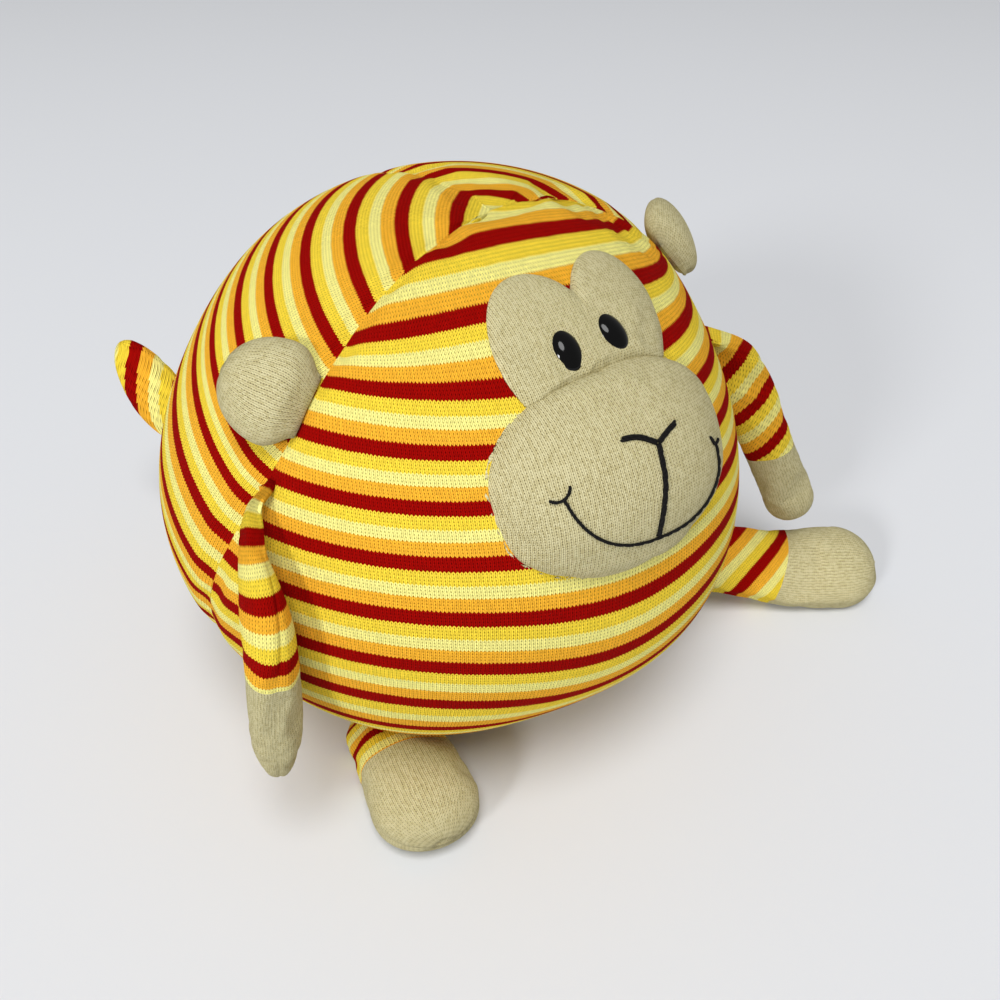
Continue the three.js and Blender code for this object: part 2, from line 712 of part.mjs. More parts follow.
// Hinge of a root that rests on the panels along an axis, in the dip of any seam under it
function aboveBody(frame, axis, width) {
  const inward = frame.out.clone().negate();
  const aside = frame.out.clone().cross(axis).multiplyScalar(PINCH / 2);
  const places = Array.from({ length: LIMB_ARC }, (_, step) => (step / (LIMB_ARC - 1) - 1 / 2) * width);
  const heights = places.flatMap((place) => [-1, 1].map((edge) => {
    const from = frame.point.clone().addScaledVector(axis, place).addScaledVector(aside, edge);
    from.addScaledVector(frame.out, BODY_RADIUS);
    const [hit] = new THREE.Raycaster(from, inward).intersectObjects(panels);
    return BODY_RADIUS - hit.distance;
  }));
  return frame.point.clone().addScaledVector(frame.out, Math.max(...heights) + ROOT_GAP + PINCH / 2);
}

function inAxes(axes, amounts) {
  return axes.reduce((sum, axis, index) => sum.addScaledVector(axis, amounts[index]), new THREE.Vector3());
}

// Ears
function addEar(side, sign) {
  const frame = bodyFrame(sign * EAR_LON, EAR_LAT);
  const back = frame.front.clone().negate();
  const axis = frame.down.clone().multiplyScalar(Math.cos(EAR_TILT * DEGREE));
  axis.addScaledVector(back, Math.sin(EAR_TILT * DEGREE));
  const swept = back.clone().addScaledVector(axis, -back.dot(axis)).normalize();
  const pivot = aboveBody(frame, axis, EAR_ROOT);
  const lean = inAxes([frame.out, swept], [Math.cos(EAR_LEAN * DEGREE), Math.sin(EAR_LEAN * DEGREE)]);
  const across = axis.clone().multiplyScalar(sign);
  const ear = {
    curve: limbPath(pivot, [lean.clone().multiplyScalar(EAR_LENGTH / 2)], lean, EAR_LENGTH),
    across,
    endAcross: across,
    root: EAR_ROOT,
    width: EAR_WIDTH,
    endWidth: EAR_WIDTH,
    thickness: EAR_THICKNESS,
    swell: EAR_SWELL,
    twist: EAR_SWELL,
    cuff: EAR_LENGTH / 2,
    round: EAR_ROUND,
  };
  const places = [...sleevePlaces(ear), ...endPlaces(ear).slice(1)];
  const group = hinge(`ear_${side}`, pivot, across);
  named(`ear_${side}_front`, limbCloth(ear, places, 1), PLAIN_KNIT, group);
  named(`ear_${side}_back`, limbCloth(ear, places, -1), PLAIN_KNIT, group);
  named(`ear_${side}_filling`, limbStuffing(ear), STUFFING, group);
  monkey.add(group);
}

addEar('right', -1);
addEar('left', 1);

// A sleeve and the plain end sewn to it, each in two halves, over one stuffing
function addLimb(limb, group, names) {
  const sleeve = sleevePlaces(limb);
  sleeve[SLEEVE_ROWS] -= seamTrim;
  const end = endPlaces(limb);
  end[0] += seamTrim;
  named(names.outerSleeve, limbCloth(limb, sleeve, 1), STRIPED_KNIT, group);
  named(names.innerSleeve, limbCloth(limb, sleeve, -1), STRIPED_KNIT, group);
  named(names.outerEnd, limbCloth(limb, end, 1), PLAIN_KNIT, group);
  named(names.innerEnd, limbCloth(limb, end, -1), PLAIN_KNIT, group);
  named(names.stuffing, limbStuffing(limb), STUFFING, group);
  monkey.add(group);
}

// Arms
function addArm(side, sign, shape) {
  const frame = bodyFrame(...shape.shoulder);
  const axes = [frame.out, frame.down, frame.front];
  const pivot = aboveBody(frame, frame.front, shape.root);
  const offsets = shape.bends.map((bend) => inAxes(axes, bend));
  const across = frame.front.clone().multiplyScalar(-sign);
  const arm = {
    curve: limbPath(pivot, offsets, inAxes(axes, shape.hang), ARM_LENGTH),
    across,
    endAcross: direction(...shape.facing),
    root: shape.root,
    width: ARM_WIDTH,
    endWidth: PAW_WIDTH,
    thickness: ARM_THICKNESS,
    swell: shape.swell,
    twist: shape.twist,
    cuff: shape.paw,
    round: shape.round,
  };
  addLimb(arm, hinge(`arm_${side}`, pivot, across.clone().negate()), {
    outerSleeve: `arm_${side}_sleeve_outer`,
    innerSleeve: `arm_${side}_sleeve_inner`,
    outerEnd: `paw_${side}_outer`,
    innerEnd: `paw_${side}_inner`,
    stuffing: `arm_${side}_filling`,
  });
}

addArm('right', -1, {
  shoulder: [ARM_RIGHT_LON, ARM_RIGHT_LAT],
  bends: ARM_RIGHT_BENDS,
  hang: ARM_RIGHT_HANG,
  facing: ARM_RIGHT_FACING,
  root: ARM_RIGHT_ROOT,
  swell: ARM_RIGHT_SWELL,
  twist: ARM_RIGHT_TWIST,
  paw: PAW_RIGHT_LENGTH,
  round: PAW_RIGHT_ROUND,
});
addArm('left', 1, {
  shoulder: [ARM_LEFT_LON, ARM_LEFT_LAT],
  bends: ARM_LEFT_BENDS,
  hang: ARM_LEFT_HANG,
  facing: ARM_LEFT_FACING,
  root: ARM_LEFT_ROOT,
  swell: SWELL,
  twist: TWIST,
  paw: PAW_LEFT_LENGTH,
  round: PAW_LEFT_ROUND,
});

// Legs
function addLeg(side, pivot, shape) {
  const along = direction(shape.heading, 0);
  const offsets = shape.bends.map(([distance, height]) => {
    const offset = along.clone().multiplyScalar(distance);
    return offset.setZ(height - pivot.z);
  });
  const across = UP.clone().cross(along);
  const leg = {
    curve: limbPath(pivot, offsets, along, shape.length),
    across,
    endAcross: inAxes([across, UP], [Math.cos(shape.roll * DEGREE), Math.sin(shape.roll * DEGREE)]),
    root: LEG_ROOT,
    width: LEG_WIDTH,
    endWidth: FOOT_WIDTH,
    thickness: LEG_THICKNESS,
    swell: SWELL,
    twist: TWIST,
    cuff: shape.foot,
    round: FOOT_ROUND,
  };
  addLimb(leg, hinge(`leg_${side}`, pivot, across.clone().negate()), {
    outerSleeve: `leg_${side}_sleeve_top`,
    innerSleeve: `leg_${side}_sleeve_sole`,
    outerEnd: `foot_${side}_top`,
    innerEnd: `foot_${side}_sole`,
    stuffing: `leg_${side}_filling`,
  });
}

const underBelly = bodyFrame(LEG_RIGHT_LON, LEG_RIGHT_LAT).point;
underBelly.z -= LEG_RIGHT_DROP;
addLeg('right', underBelly, {
  heading: LEG_RIGHT_HEADING,
  bends: LEG_RIGHT_BENDS,
  length: LEG_RIGHT_LENGTH,
  roll: LEG_RIGHT_ROLL,
  foot: FOOT_RIGHT_LENGTH,
});
const hip = bodyFrame(LEG_LEFT_LON, LEG_LEFT_LAT);
const besideBelly = aboveBody(hip, direction(LEG_LEFT_HEADING + 90, 0), LEG_ROOT);
addLeg('left', besideBelly, {
  heading: LEG_LEFT_HEADING,
  bends: LEG_LEFT_BENDS,
  length: LEG_LEFT_LENGTH,
  roll: LEG_LEFT_ROLL,
  foot: FOOT_LEFT_LENGTH,
});

// Tail
function addTail() {
  const frame = bodyFrame(180, TAIL_LAT);
  const axes = [frame.out, new THREE.Vector3(-1, 0, 0), UP];
  const pivot = aboveBody(frame, frame.down, TAIL_ROOT);
  const offsets = TAIL_BENDS.map((bend) => inAxes(axes, bend));
  const across = frame.down.clone().negate();
  const tail = {
    curve: limbPath(pivot, offsets, inAxes(axes, TAIL_HANG), TAIL_LENGTH),
    across,
    endAcross: across,
    root: TAIL_ROOT,
    width: TAIL_WIDTH,
    endWidth: TAIL_END_WIDTH,
    thickness: TAIL_THICKNESS,
    swell: SWELL,
    twist: TWIST,
    cuff: TAIL_LENGTH / 2,
    round: TAIL_ROUND,
  };
  const places = [...sleevePlaces(tail), ...endPlaces(tail).slice(1)];
  const group = hinge('tail', pivot, frame.down);
  named('tail_outer', limbCloth(tail, places, 1), STRIPED_KNIT, group);
  named('tail_inner', limbCloth(tail, places, -1), STRIPED_KNIT, group);
  named('tail_filling', limbStuffing(tail), STUFFING, group);
  monkey.add(group);
}

addTail();

export default monkey;
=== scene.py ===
import json
import math

import bpy
import numpy as np
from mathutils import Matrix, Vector
from mathutils.bvhtree import BVHTree


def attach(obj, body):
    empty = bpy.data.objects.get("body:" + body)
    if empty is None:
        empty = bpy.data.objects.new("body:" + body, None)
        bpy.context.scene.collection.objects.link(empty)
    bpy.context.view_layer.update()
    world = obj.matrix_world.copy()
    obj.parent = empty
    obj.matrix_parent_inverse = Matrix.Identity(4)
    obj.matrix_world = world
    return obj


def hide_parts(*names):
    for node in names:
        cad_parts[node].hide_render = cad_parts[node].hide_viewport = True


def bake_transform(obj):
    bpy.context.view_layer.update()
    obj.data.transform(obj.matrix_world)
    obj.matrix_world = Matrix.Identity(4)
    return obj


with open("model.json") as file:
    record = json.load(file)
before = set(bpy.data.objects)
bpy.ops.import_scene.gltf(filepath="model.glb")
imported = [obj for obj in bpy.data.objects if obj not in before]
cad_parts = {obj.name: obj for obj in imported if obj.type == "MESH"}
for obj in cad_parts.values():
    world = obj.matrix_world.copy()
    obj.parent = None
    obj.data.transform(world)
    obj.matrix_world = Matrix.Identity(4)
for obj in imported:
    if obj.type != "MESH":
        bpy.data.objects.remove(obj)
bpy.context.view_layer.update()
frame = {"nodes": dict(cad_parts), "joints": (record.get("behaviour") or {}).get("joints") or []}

# Striped knit ball
# The body is a ball of striped jersey sewn from three panels: one over the face and belly, two at the back.
# Each was knitted flat in bands of about four courses, then sewn inside out along its edges, turned and
# stuffed tight. Its base is pressed flat by the toy's weight.
MM = 0.001
BALL_CENTRE = np.array((0, 0, 115)) * MM
BALL_RADII = np.array((125, 125, 120.5)) * MM
# Longitude, latitude, depth in millimetres and spread in degrees. The last is a bulge where the ball slumps.
DENTS = ((52, 4, 7, 26), (58, 29, 5, 20), (-15, -37, 5, 22), (-135, 25, 3.5, 25), (-118, -25, -4.5, 30))
CROWN_LAT = 79
BASE_LAT = -76
RIGHT_SEAM = ((0, CROWN_LAT), (-55, 64), (-71, 27), (-87, -5), (-104, -35), (-180, BASE_LAT))
LEFT_SEAM = ((0, CROWN_LAT), (65, 65), (73, 27), (87, -5), (104, -35), (180, BASE_LAT))
SLACK = 3.2 * MM
SEAM_DRAW = 2.2 * MM
KNIT = 1.2 * MM
SEAM_ROWS = 80
BASE_ROWS = 6
FRONT_ROWS = SEAM_ROWS + BASE_ROWS
SEAM_SHARE = SEAM_ROWS / FRONT_ROWS
FRONT_COLUMNS = 76
BACK_COLUMNS = 46
SPAN_STEPS = 40
LINE_STEPS = 400
WELD = 0.02 * MM


def heading(lon, lat):
    """Direction from the middle of the ball at a longitude from the face and a latitude, in degrees."""
    lon, lat = np.broadcast_arrays(np.radians(lon), np.radians(lat))
    return np.stack((np.cos(lat) * np.sin(lon), -np.cos(lat) * np.cos(lon), np.sin(lat)), axis=-1)


def unit(vectors):
    return vectors / np.linalg.norm(vectors, axis=-1, keepdims=True)


def on_ball(toward, inset):
    """Points of the ball under its outer face, with the base pressed flat and its dents pressed in."""
    reach = -np.asarray(inset, float)
    for lon, lat, depth, spread in DENTS:
        away = np.degrees(np.arccos(np.clip(toward @ heading(lon, lat), -1, 1))) / spread
        reach = reach - depth * MM * np.exp(-away**2)
    point = BALL_CENTRE + toward * (BALL_RADII + reach[..., None])
    point[..., 2] = np.maximum(point[..., 2], inset)
    return point


def smooth_line(points, count):
    """Even points along a smooth line through a few chosen ones."""
    points = np.asarray(points, float)
    ends = np.vstack((2 * points[0] - points[1], points, 2 * points[-1] - points[-2]))
    share = np.linspace(0, 1, SPAN_STEPS)[:-1, None]
    spans = []
    for before, start, end, after in zip(ends, ends[1:], ends[2:], ends[3:]):
        gaps = [np.sqrt(np.linalg.norm(b - a)) for a, b in ((before, start), (start, end), (end, after))]
        leave = (start - before) / gaps[0] - (end - before) / (gaps[0] + gaps[1]) + (end - start) / gaps[1]
        arrive = (end - start) / gaps[1] - (after - start) / (gaps[1] + gaps[2]) + (after - end) / gaps[2]
        leave, arrive = leave * gaps[1], arrive * gaps[1]
        cubic = 2 * start - 2 * end + leave + arrive
        square = 3 * end - 3 * start - 2 * leave - arrive
        spans.append(start + share * (leave + share * (square + share * cubic)))
    line = np.vstack((*spans, points[-1:]))
    travelled = np.concatenate(((0,), np.cumsum(np.linalg.norm(np.diff(line, axis=0), axis=1))))
    wanted = np.linspace(0, travelled[-1], count)
    return np.stack([np.interp(wanted, travelled, line[:, axis]) for axis in range(3)], axis=1)


def seam_longitude(places):
    """Longitude of a side seam at any latitude between the crown and the base."""
    line = unit(smooth_line(heading(*np.array(places, float).T), LINE_STEPS))
    lat = np.degrees(np.arcsin(line[:, 2]))
    lon = np.degrees(np.arctan2(line[:, 0], -line[:, 1]))
    lon[[0, -1]] = places[0][0], places[-1][0]
    return lambda wanted: np.interp(-wanted, -lat, lon)


right_seam = seam_longitude(RIGHT_SEAM)
left_seam = seam_longitude(LEFT_SEAM)


def points_of(piece):
    flat = np.empty(len(piece.data.vertices) * 3)
    piece.data.vertices.foreach_get("co", flat)
    return flat.reshape(-1, 3)


def lay(piece, points):
    piece.data.vertices.foreach_set("co", np.asarray(points, np.float32).ravel())
    piece.data.update()


def pick(*pieces):
    """Selects pieces alone, the first one active."""
    bpy.ops.object.select_all(action="DESELECT")
    for piece in pieces:
        piece.select_set(True)
    bpy.context.view_layer.objects.active = pieces[0]


def panel_of_knit(name, columns, rows, place, stitches, held):
    """Grid laid by place(u, v), its wales and courses counted in its UV map and its held points marked."""
    bpy.ops.object.select_all(action="DESELECT")
    bpy.ops.mesh.primitive_grid_add(x_subdivisions=columns, y_subdivisions=rows, size=1)
    panel = bpy.context.object
    panel.name = name
    flat = points_of(panel)
    u = np.round(flat[:, 0] + 0.5, 6)
    v = np.round(0.5 - flat[:, 1], 6)
    corners = np.empty(len(panel.data.loops), dtype=np.int32)
    panel.data.loops.foreach_get("vertex_index", corners)
    counts = np.stack(np.broadcast_arrays(*stitches(u, v)), axis=1)
    panel.data.uv_layers.active.data.foreach_set("uv", counts[corners].ravel())
    lay(panel, place(u, v))
    panel.vertex_groups.new(name="held").add(np.flatnonzero(held(u, v)).tolist(), 1, "REPLACE")
    return panel


def sewn(name, panels):
    """Cover sewn from panels along their shared edges, each panel's faces marked with its number."""
    for number, panel in enumerate(panels):
        mark = panel.data.attributes.new("panel", "INT", "FACE")
        mark.data.foreach_set("value", np.full(len(panel.data.polygons), number, dtype=np.int32))
    pick(*panels)
    if len(panels) > 1:
        bpy.ops.object.join()
    cover = bpy.context.object
    cover.name = name
    bpy.ops.object.mode_set(mode="EDIT")
    bpy.ops.mesh.select_all(action="SELECT")
    bpy.ops.mesh.remove_doubles(threshold=WELD)
    bpy.ops.mesh.normals_make_consistent(inside=False)
    bpy.ops.object.mode_set(mode="OBJECT")
    return cover


def finished(piece, kind, **settings):
    """Adds a modifier with its settings and applies it."""
    pick(piece)
    modifier = piece.modifiers.new(kind.lower(), kind)
    for name, value in settings.items():
        setattr(modifier, name, value)
    bpy.ops.object.modifier_apply(modifier=modifier.name)


SWELL_FRAMES = 20
SWELL_PRESSURE = 4


def swollen(cover, growth, limit):
    """Blows a cover up as stuffing does: cloth under pressure, held at its seams, moving up to a limit."""
    start = points_of(cover)
    pick(cover)
    cloth = cover.modifiers.new("stuffing", "CLOTH")
    cloth.settings.use_pressure = True
    cloth.settings.uniform_pressure_force = SWELL_PRESSURE
    cloth.settings.vertex_group_mass = "held"
    cloth.settings.shrink_min = -growth
    cloth.settings.effector_weights.gravity = 0
    cloth.point_cache.frame_end = SWELL_FRAMES
    for step in range(1, SWELL_FRAMES + 1):
        bpy.context.scene.frame_set(step)
    bpy.ops.object.modifier_apply(modifier=cloth.name)
    bpy.context.scene.frame_set(1)
    moved = points_of(cover) - start
    far = np.maximum(np.linalg.norm(moved, axis=1, keepdims=True), 1e-9)
    lay(cover, start + moved * np.minimum(1, limit / far))


def rounded(piece):
    finished(piece, "SUBSURF", levels=1, render_levels=1)


def mark_faces(piece, chosen):
    """Selects some faces of a piece, in edit mode."""
    pick(piece)
    bpy.context.tool_settings.mesh_select_mode = (False, False, True)
    bpy.ops.object.mode_set(mode="EDIT")
    bpy.ops.mesh.select_all(action="DESELECT")
    bpy.ops.object.mode_set(mode="OBJECT")
    piece.data.polygons.foreach_set("select", chosen)
    bpy.ops.object.mode_set(mode="EDIT")


def unpicked(cover, names):
    """Panels of a cover as separate pieces, in the order that they were sewn."""
    pieces = []
    for number, name in enumerate(names[:-1]):
        mark = np.empty(len(cover.data.polygons), dtype=np.int32)
        cover.data.attributes["panel"].data.foreach_get("value", mark)
        mark_faces(cover, mark == number)
        bpy.ops.mesh.separate(type="SELECTED")
        bpy.ops.object.mode_set(mode="OBJECT")
        piece = next(other for other in bpy.context.selected_objects if other != cover)
        piece.name = name
        pieces.append(piece)
    cover.name = names[-1]
    return [*pieces, cover]


KNIT_EDGE = math.radians(55)


def thickened(piece):
    """Knit with its real thickness, inwards from its face."""
    finished(piece, "SOLIDIFY", thickness=KNIT, offset=-1)
    bpy.ops.object.shade_smooth_by_angle(angle=KNIT_EDGE)
    return piece


def skin_of(piece):
    """Surface of a piece, for finding points on it."""
    faces = [tuple(face.vertices) for face in piece.data.polygons]
    return BVHTree.FromPolygons(points_of(piece).tolist(), faces)


finish_of = {}


def fitted(piece, slot, body, node, bend=None):
    """Gives a piece its finish and hides the solid it stands for; with a bend, the piece keeps its place in
    the world instead of hanging on its body.
    """
    piece.data.materials.clear()
    piece.data.materials.append(finish_of[slot])
    if bend:
        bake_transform(piece)
    else:
        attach(piece, body)
    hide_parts(node)


# Wales run down from the crown and courses run round, so each panel's UV map counts both in stitches.
# The reds are the heights in degrees of each red band's middle, from the crown down. Those low on the ball
# are ten degrees apart.
WALE = 1.4 * MM
REPEAT = 16
FRONT_REDS = (95, 80, 65.7, 51.9, 42.4, 33.5, 25.2, 16.5, 7.1, -3.2, -13.8, -27.5, -39,
              *np.arange(-50, -101, -10))
BACK_REDS = (99, 91, 83, 75, 66.8, 58.4, 50.6, 43.3, 36.2, 28.9, 23.2, 13.7, 1.5,
             *np.arange(-8.5, -89, -10))
FRONT_LEAN = 0.02
FRONT_MIDDLE = -8
CROWN_BOW = 0.0025
BOW_LEVEL = 40
BOW_FROM, BOW_OVER = 40, 15
BELLY_DIP = 5.2
DIP_SPREAD = 22
DIP_FROM, DIP_OVER, DIP_MOST = 20, 30, 1.3
BACK_TILT = math.radians(25.2)
BACK_SIDE = math.radians(2.9)
BACK_MIDDLE = 87
BACK_CURL = 0.53


def panel_latitude(v):
    return np.interp(v, (0, SEAM_SHARE, 1), (CROWN_LAT, BASE_LAT, -90))


def front_toward(u, v):
    lat = panel_latitude(v)
    edge = np.maximum(lat, BASE_LAT)
    lon = right_seam(edge) * (1 - u) + left_seam(edge) * u
    return lon, lat


def on_base(v):
    return v > SEAM_SHARE + 0.5 / FRONT_ROWS


def front_held(u, v):
    return (u == 0) | (u == 1) | (v == 0) | on_base(v)


def front_place(u, v):
    inset = np.where(front_held(u, v), SEAM_DRAW, SLACK)
    return on_ball(heading(*front_toward(u, v)), np.where(on_base(v), 0, inset))


def eased(share):
    share = np.clip(share, 0, 1)
    return share * share * (3 - 2 * share)


def front_stitches(u, v):
    """Bands that bow up towards the crown and hang lower in the middle of the belly."""
    lon, lat = front_toward(u, v)
    aside = lon - FRONT_MIDDLE
    bow = CROWN_BOW * (aside**2 - BOW_LEVEL**2) * eased((lat - BOW_FROM) / BOW_OVER)
    dip = BELLY_DIP * np.exp(-(aside / DIP_SPREAD) ** 2) * np.clip((DIP_FROM - lat) / DIP_OVER, 0, DIP_MOST)
    climb = lat + bow + dip + FRONT_LEAN * lon
    bands = np.interp(-climb, -np.array(FRONT_REDS), np.arange(len(FRONT_REDS)))
    wales = np.radians(lon) * np.sqrt(np.abs(np.cos(np.radians(lat)))) * BALL_RADII[0] / WALE
    return wales, bands * REPEAT


def back_toward(side_seam, u, v):
    """Row from the side seam to the centre back seam, along the shortest way over the ball."""
    lat = CROWN_LAT + v * (BASE_LAT - CROWN_LAT)
    side = heading(side_seam(lat), lat)
    back = heading(np.zeros_like(v), CROWN_LAT + v * (180 - BASE_LAT - CROWN_LAT))
    angle = np.arccos(np.clip((side * back).sum(axis=-1), -1, 1))
    angle = np.maximum(angle, 1e-6)[..., None]
    share = u[..., None]
    return unit((np.sin((1 - share) * angle) * side + np.sin(share * angle) * back) / np.sin(angle))


def back_held(u, v):
    return (u == 0) | (u == 1) | (v == 0) | (v == 1)


def back_stitches(toward):
    """Bands that circle a leaning axis, bent towards the middle of the panel by the seams' pull."""
    axis = np.array((math.sin(BACK_SIDE), -math.sin(BACK_TILT) * math.cos(BACK_SIDE),
                     math.cos(BACK_TILT) * math.cos(BACK_SIDE)))
    east = unit(np.array((1, 0, 0)) - axis * axis[0])
    north = np.cross(axis, east)
    lon = np.degrees(np.arctan2(toward @ east, -(toward @ north)))
    lat = np.arcsin(np.clip(toward @ axis, -1, 1))
    aside = np.radians((lon + BACK_MIDDLE + 180) % 360 - 180)
    climb = np.degrees(np.arctan2(np.tan(lat), np.cos(BACK_CURL * aside)))
    bands = np.interp(-climb, -np.array(BACK_REDS), np.arange(len(BACK_REDS)))
    return aside * np.sqrt(np.abs(np.cos(lat))) * BALL_RADII[0] / WALE, -bands * REPEAT


def back_panel(name, side_seam, mirror):
    return panel_of_knit(
        name, BACK_COLUMNS, SEAM_ROWS,
        lambda u, v: on_ball(back_toward(side_seam, u, v), np.where(back_held(u, v), SEAM_DRAW, SLACK)),
        lambda u, v: back_stitches(back_toward(side_seam, u, v) * mirror),
        back_held,
    )


class Dye:
    """A socket of a material, so that shader maths reads as plain sums."""

    def __init__(self, tree, socket=None):
        self.tree = tree
        self.socket = socket

    def node(self, kind, settings=None, values=None, output=0):
        """Adds a node: its settings first, then a number or a link for each of its sockets."""
        node = self.tree.nodes.new(kind)
        for name, setting in (settings or {}).items():
            if name == "stops":
                while len(node.color_ramp.elements) < len(setting):
                    node.color_ramp.elements.new(1)
                for element, (place, colour) in zip(node.color_ramp.elements, setting):
                    element.position = place
                    element.color = colour
            elif name == "steps":
                node.color_ramp.interpolation = setting
            else:
                setattr(node, name, setting)
        for name, value in (values or {}).items():
            if isinstance(value, Dye):
                self.tree.links.new(value.socket, node.inputs[name])
            else:
                node.inputs[name].default_value = value
        return Dye(self.tree, node.outputs[output])

    def feed(self, node, name):
        """Links this value to a socket of a node that is there already."""
        self.tree.links.new(self.socket, node.inputs[name])

    def sum(self, operation, *values):
        return self.node("ShaderNodeMath", {"operation": operation}, dict(enumerate(values)))

    def __add__(self, other):
        return self.sum("ADD", self, other)

    def __sub__(self, other):
        return self.sum("SUBTRACT", self, other)

    def __rsub__(self, other):
        return self.sum("SUBTRACT", other, self)

    def __mul__(self, other):
        return self.sum("MULTIPLY", self, other)

    def __truediv__(self, other):
        return self.sum("DIVIDE", self, other)

    def __mod__(self, other):
        return self.sum("FLOORED_MODULO", self, other)

    def __abs__(self):
        return self.sum("ABSOLUTE", self)

    __radd__ = __add__
    __rmul__ = __mul__

    def eased(self, low, high):
        """0 below one value and 1 above another, with a soft step between them."""
        settings = {"interpolation_type": "SMOOTHSTEP"}
        values = {"Value": self, "From Min": low, "From Max": high}
        return self.node("ShaderNodeMapRange", settings, values)

    def mixed(self, blend, first, second):
        """Two colours mixed by this value."""
        values = {"Factor": self, 6: first, 7: second}
        return self.node("ShaderNodeMix", {"data_type": "RGBA", "blend_type": blend}, values, 2)


def colour(red, green, blue):
    """Linear colour from screen values of 0 to 255."""
    screen = np.array((red, green, blue)) / 255
    linear = np.where(screen < 0.04045, screen / 12.92, ((screen + 0.055) / 1.055) ** 2.4)
    return (*linear.tolist(), 1)


def new_finish(name):
    """Empty material, its start for shader maths and its surface shader."""
    material = bpy.data.materials.new(name)
    material.use_nodes = True
    tree = material.node_tree
    shader = next(node for node in tree.nodes if node.type == "BSDF_PRINCIPLED")
    return material, Dye(tree), shader


RED = colour(158, 8, 4)
BRIGHT_YELLOW = colour(254, 222, 66)
PALE_YELLOW = colour(255, 246, 146)
ORANGE = colour(254, 186, 54)
BEIGE = colour(230, 221, 174)
BEIGE_FLECK = colour(166, 154, 106)
# Colour of the painted shade in the gaps between stitches and down the middle of each wale
PORE_SHADE = colour(92, 74, 28)
STRIPES = list(zip((0, 0.27, 0.52, 0.74), (RED, BRIGHT_YELLOW, PALE_YELLOW, ORANGE)))
HALF_RED = 0.135
FLECK = 0.7
STITCH_LEAN = 0.6
STITCH_HEIGHT = 0.45 * MM


def knit_finish(name, striped):
    """Jersey face: each wale is a column of V stitches, each course one row of them, with painted shade in
    the gaps between stitches.
    """
    material, dye, shader = new_finish(name)
    stitches = dye.node("ShaderNodeTexCoord", output="UV")
    wales = stitches.node("ShaderNodeSeparateXYZ", values={"Vector": stitches}, output="X")
    courses = stitches.node("ShaderNodeSeparateXYZ", values={"Vector": stitches}, output="Y")
    wander = dye.node("ShaderNodeTexNoise", values={"Vector": stitches, "Scale": 0.22, "Detail": 2})
    wales = wales + 0.5 * wander
    beside = abs(2 * (wales % 1) - 1)
    row = courses + STITCH_LEAN * beside + 0.4 * wander
    along = 2 * (row % 1) - 1
    across = 2 * ((2 * wales) % 1) - 1
    loop = 1 - 0.32 * along * along - 0.68 * across * across
    leg = wales.sum("FLOOR", 2 * wales)
    course = row.sum("FLOOR", row)
    cell = dye.node("ShaderNodeCombineXYZ", values={"X": leg, "Y": course})
    chance = dye.node("ShaderNodeTexWhiteNoise", {"noise_dimensions": "2D"}, {"Vector": cell})
    fibre = dye.node("ShaderNodeTexNoise", values={"Vector": stitches, "Scale": 5, "Detail": 3})
    if striped:
        phase = (row / REPEAT + HALF_RED) % 1
        yarn = dye.node("ShaderNodeValToRGB", {"stops": STRIPES, "steps": "CONSTANT"}, {"Fac": phase})
    else:
        yarn = (FLECK * chance).mixed("MIX", BEIGE, BEIGE_FLECK)
    shade = 0.86 + 0.22 * chance + 0.2 * (fibre - 0.5)
    tone = dye.node("ShaderNodeCombineColor", values={"Red": shade, "Green": shade, "Blue": shade})
    yarn = dye.node("ShaderNodeMix", {"data_type": "RGBA", "blend_type": "MULTIPLY"},
                    {"Factor": 1.0, 6: yarn, 7: tone}, 2)
    # Painted shade: the gaps between courses and between wales, and the groove down the middle of each wale,
    # are darkened towards the pore shade colour.
    gap = 0.1 + 0.7 * abs(along).eased(0.2, 0.9)
    pore_shade = beside.eased(0.5, 1) * gap * (0.7 + 0.6 * chance) + 0.22 * (1 - beside).eased(0.72, 1)
    yarn = pore_shade.mixed("MULTIPLY", yarn, PORE_SHADE)
    yarn.feed(shader, "Base Color")
    height = loop + 0.25 * fibre
    bump = dye.node("ShaderNodeBump", values={"Height": height, "Distance": STITCH_HEIGHT, "Strength": 0.8})
    bump.feed(shader, "Normal")
    shader.inputs["Roughness"].default_value = 0.95
    shader.inputs["Specular IOR Level"].default_value = 0.03
    return material


finish_of["striped_knit"] = knit_finish("striped_jersey", striped=True)
finish_of["plain_knit"] = knit_finish("plain_jersey", striped=False)

MIRROR_X = np.array((-1, 1, 1))
ball = sewn("ball_cover", [
    panel_of_knit("front", FRONT_COLUMNS, FRONT_ROWS, front_place, front_stitches, front_held),
    back_panel("back_right", right_seam, mirror=1),
    back_panel("back_left", left_seam, mirror=MIRROR_X),
])
swollen(ball, growth=0.045, limit=3.6 * MM)


def above_floor(piece):
    points = points_of(piece)
    points[:, 2] = np.maximum(points[:, 2], 0)
    lay(piece, points)


above_floor(ball)


# Stuffing of the ball
# One mass of loose polyester fibre, pushed in by hand until the cover is tight. It fills the ball under the
# knit and gives way round the washers behind the eyes.
UNDER_KNIT = 3 * MM
TUFT = 1.2 * MM
FACE_LON = -6
EYES_PLACE = (FACE_LON, 48)
EYE_ASIDE = 9.6 * MM
WASHER_ROOM = 8 * MM
WASHER_HOLLOW = 12 * MM
FIBRE_WHITE = colour(243, 241, 234)
FIBRE_SHADOW = colour(205, 202, 192)


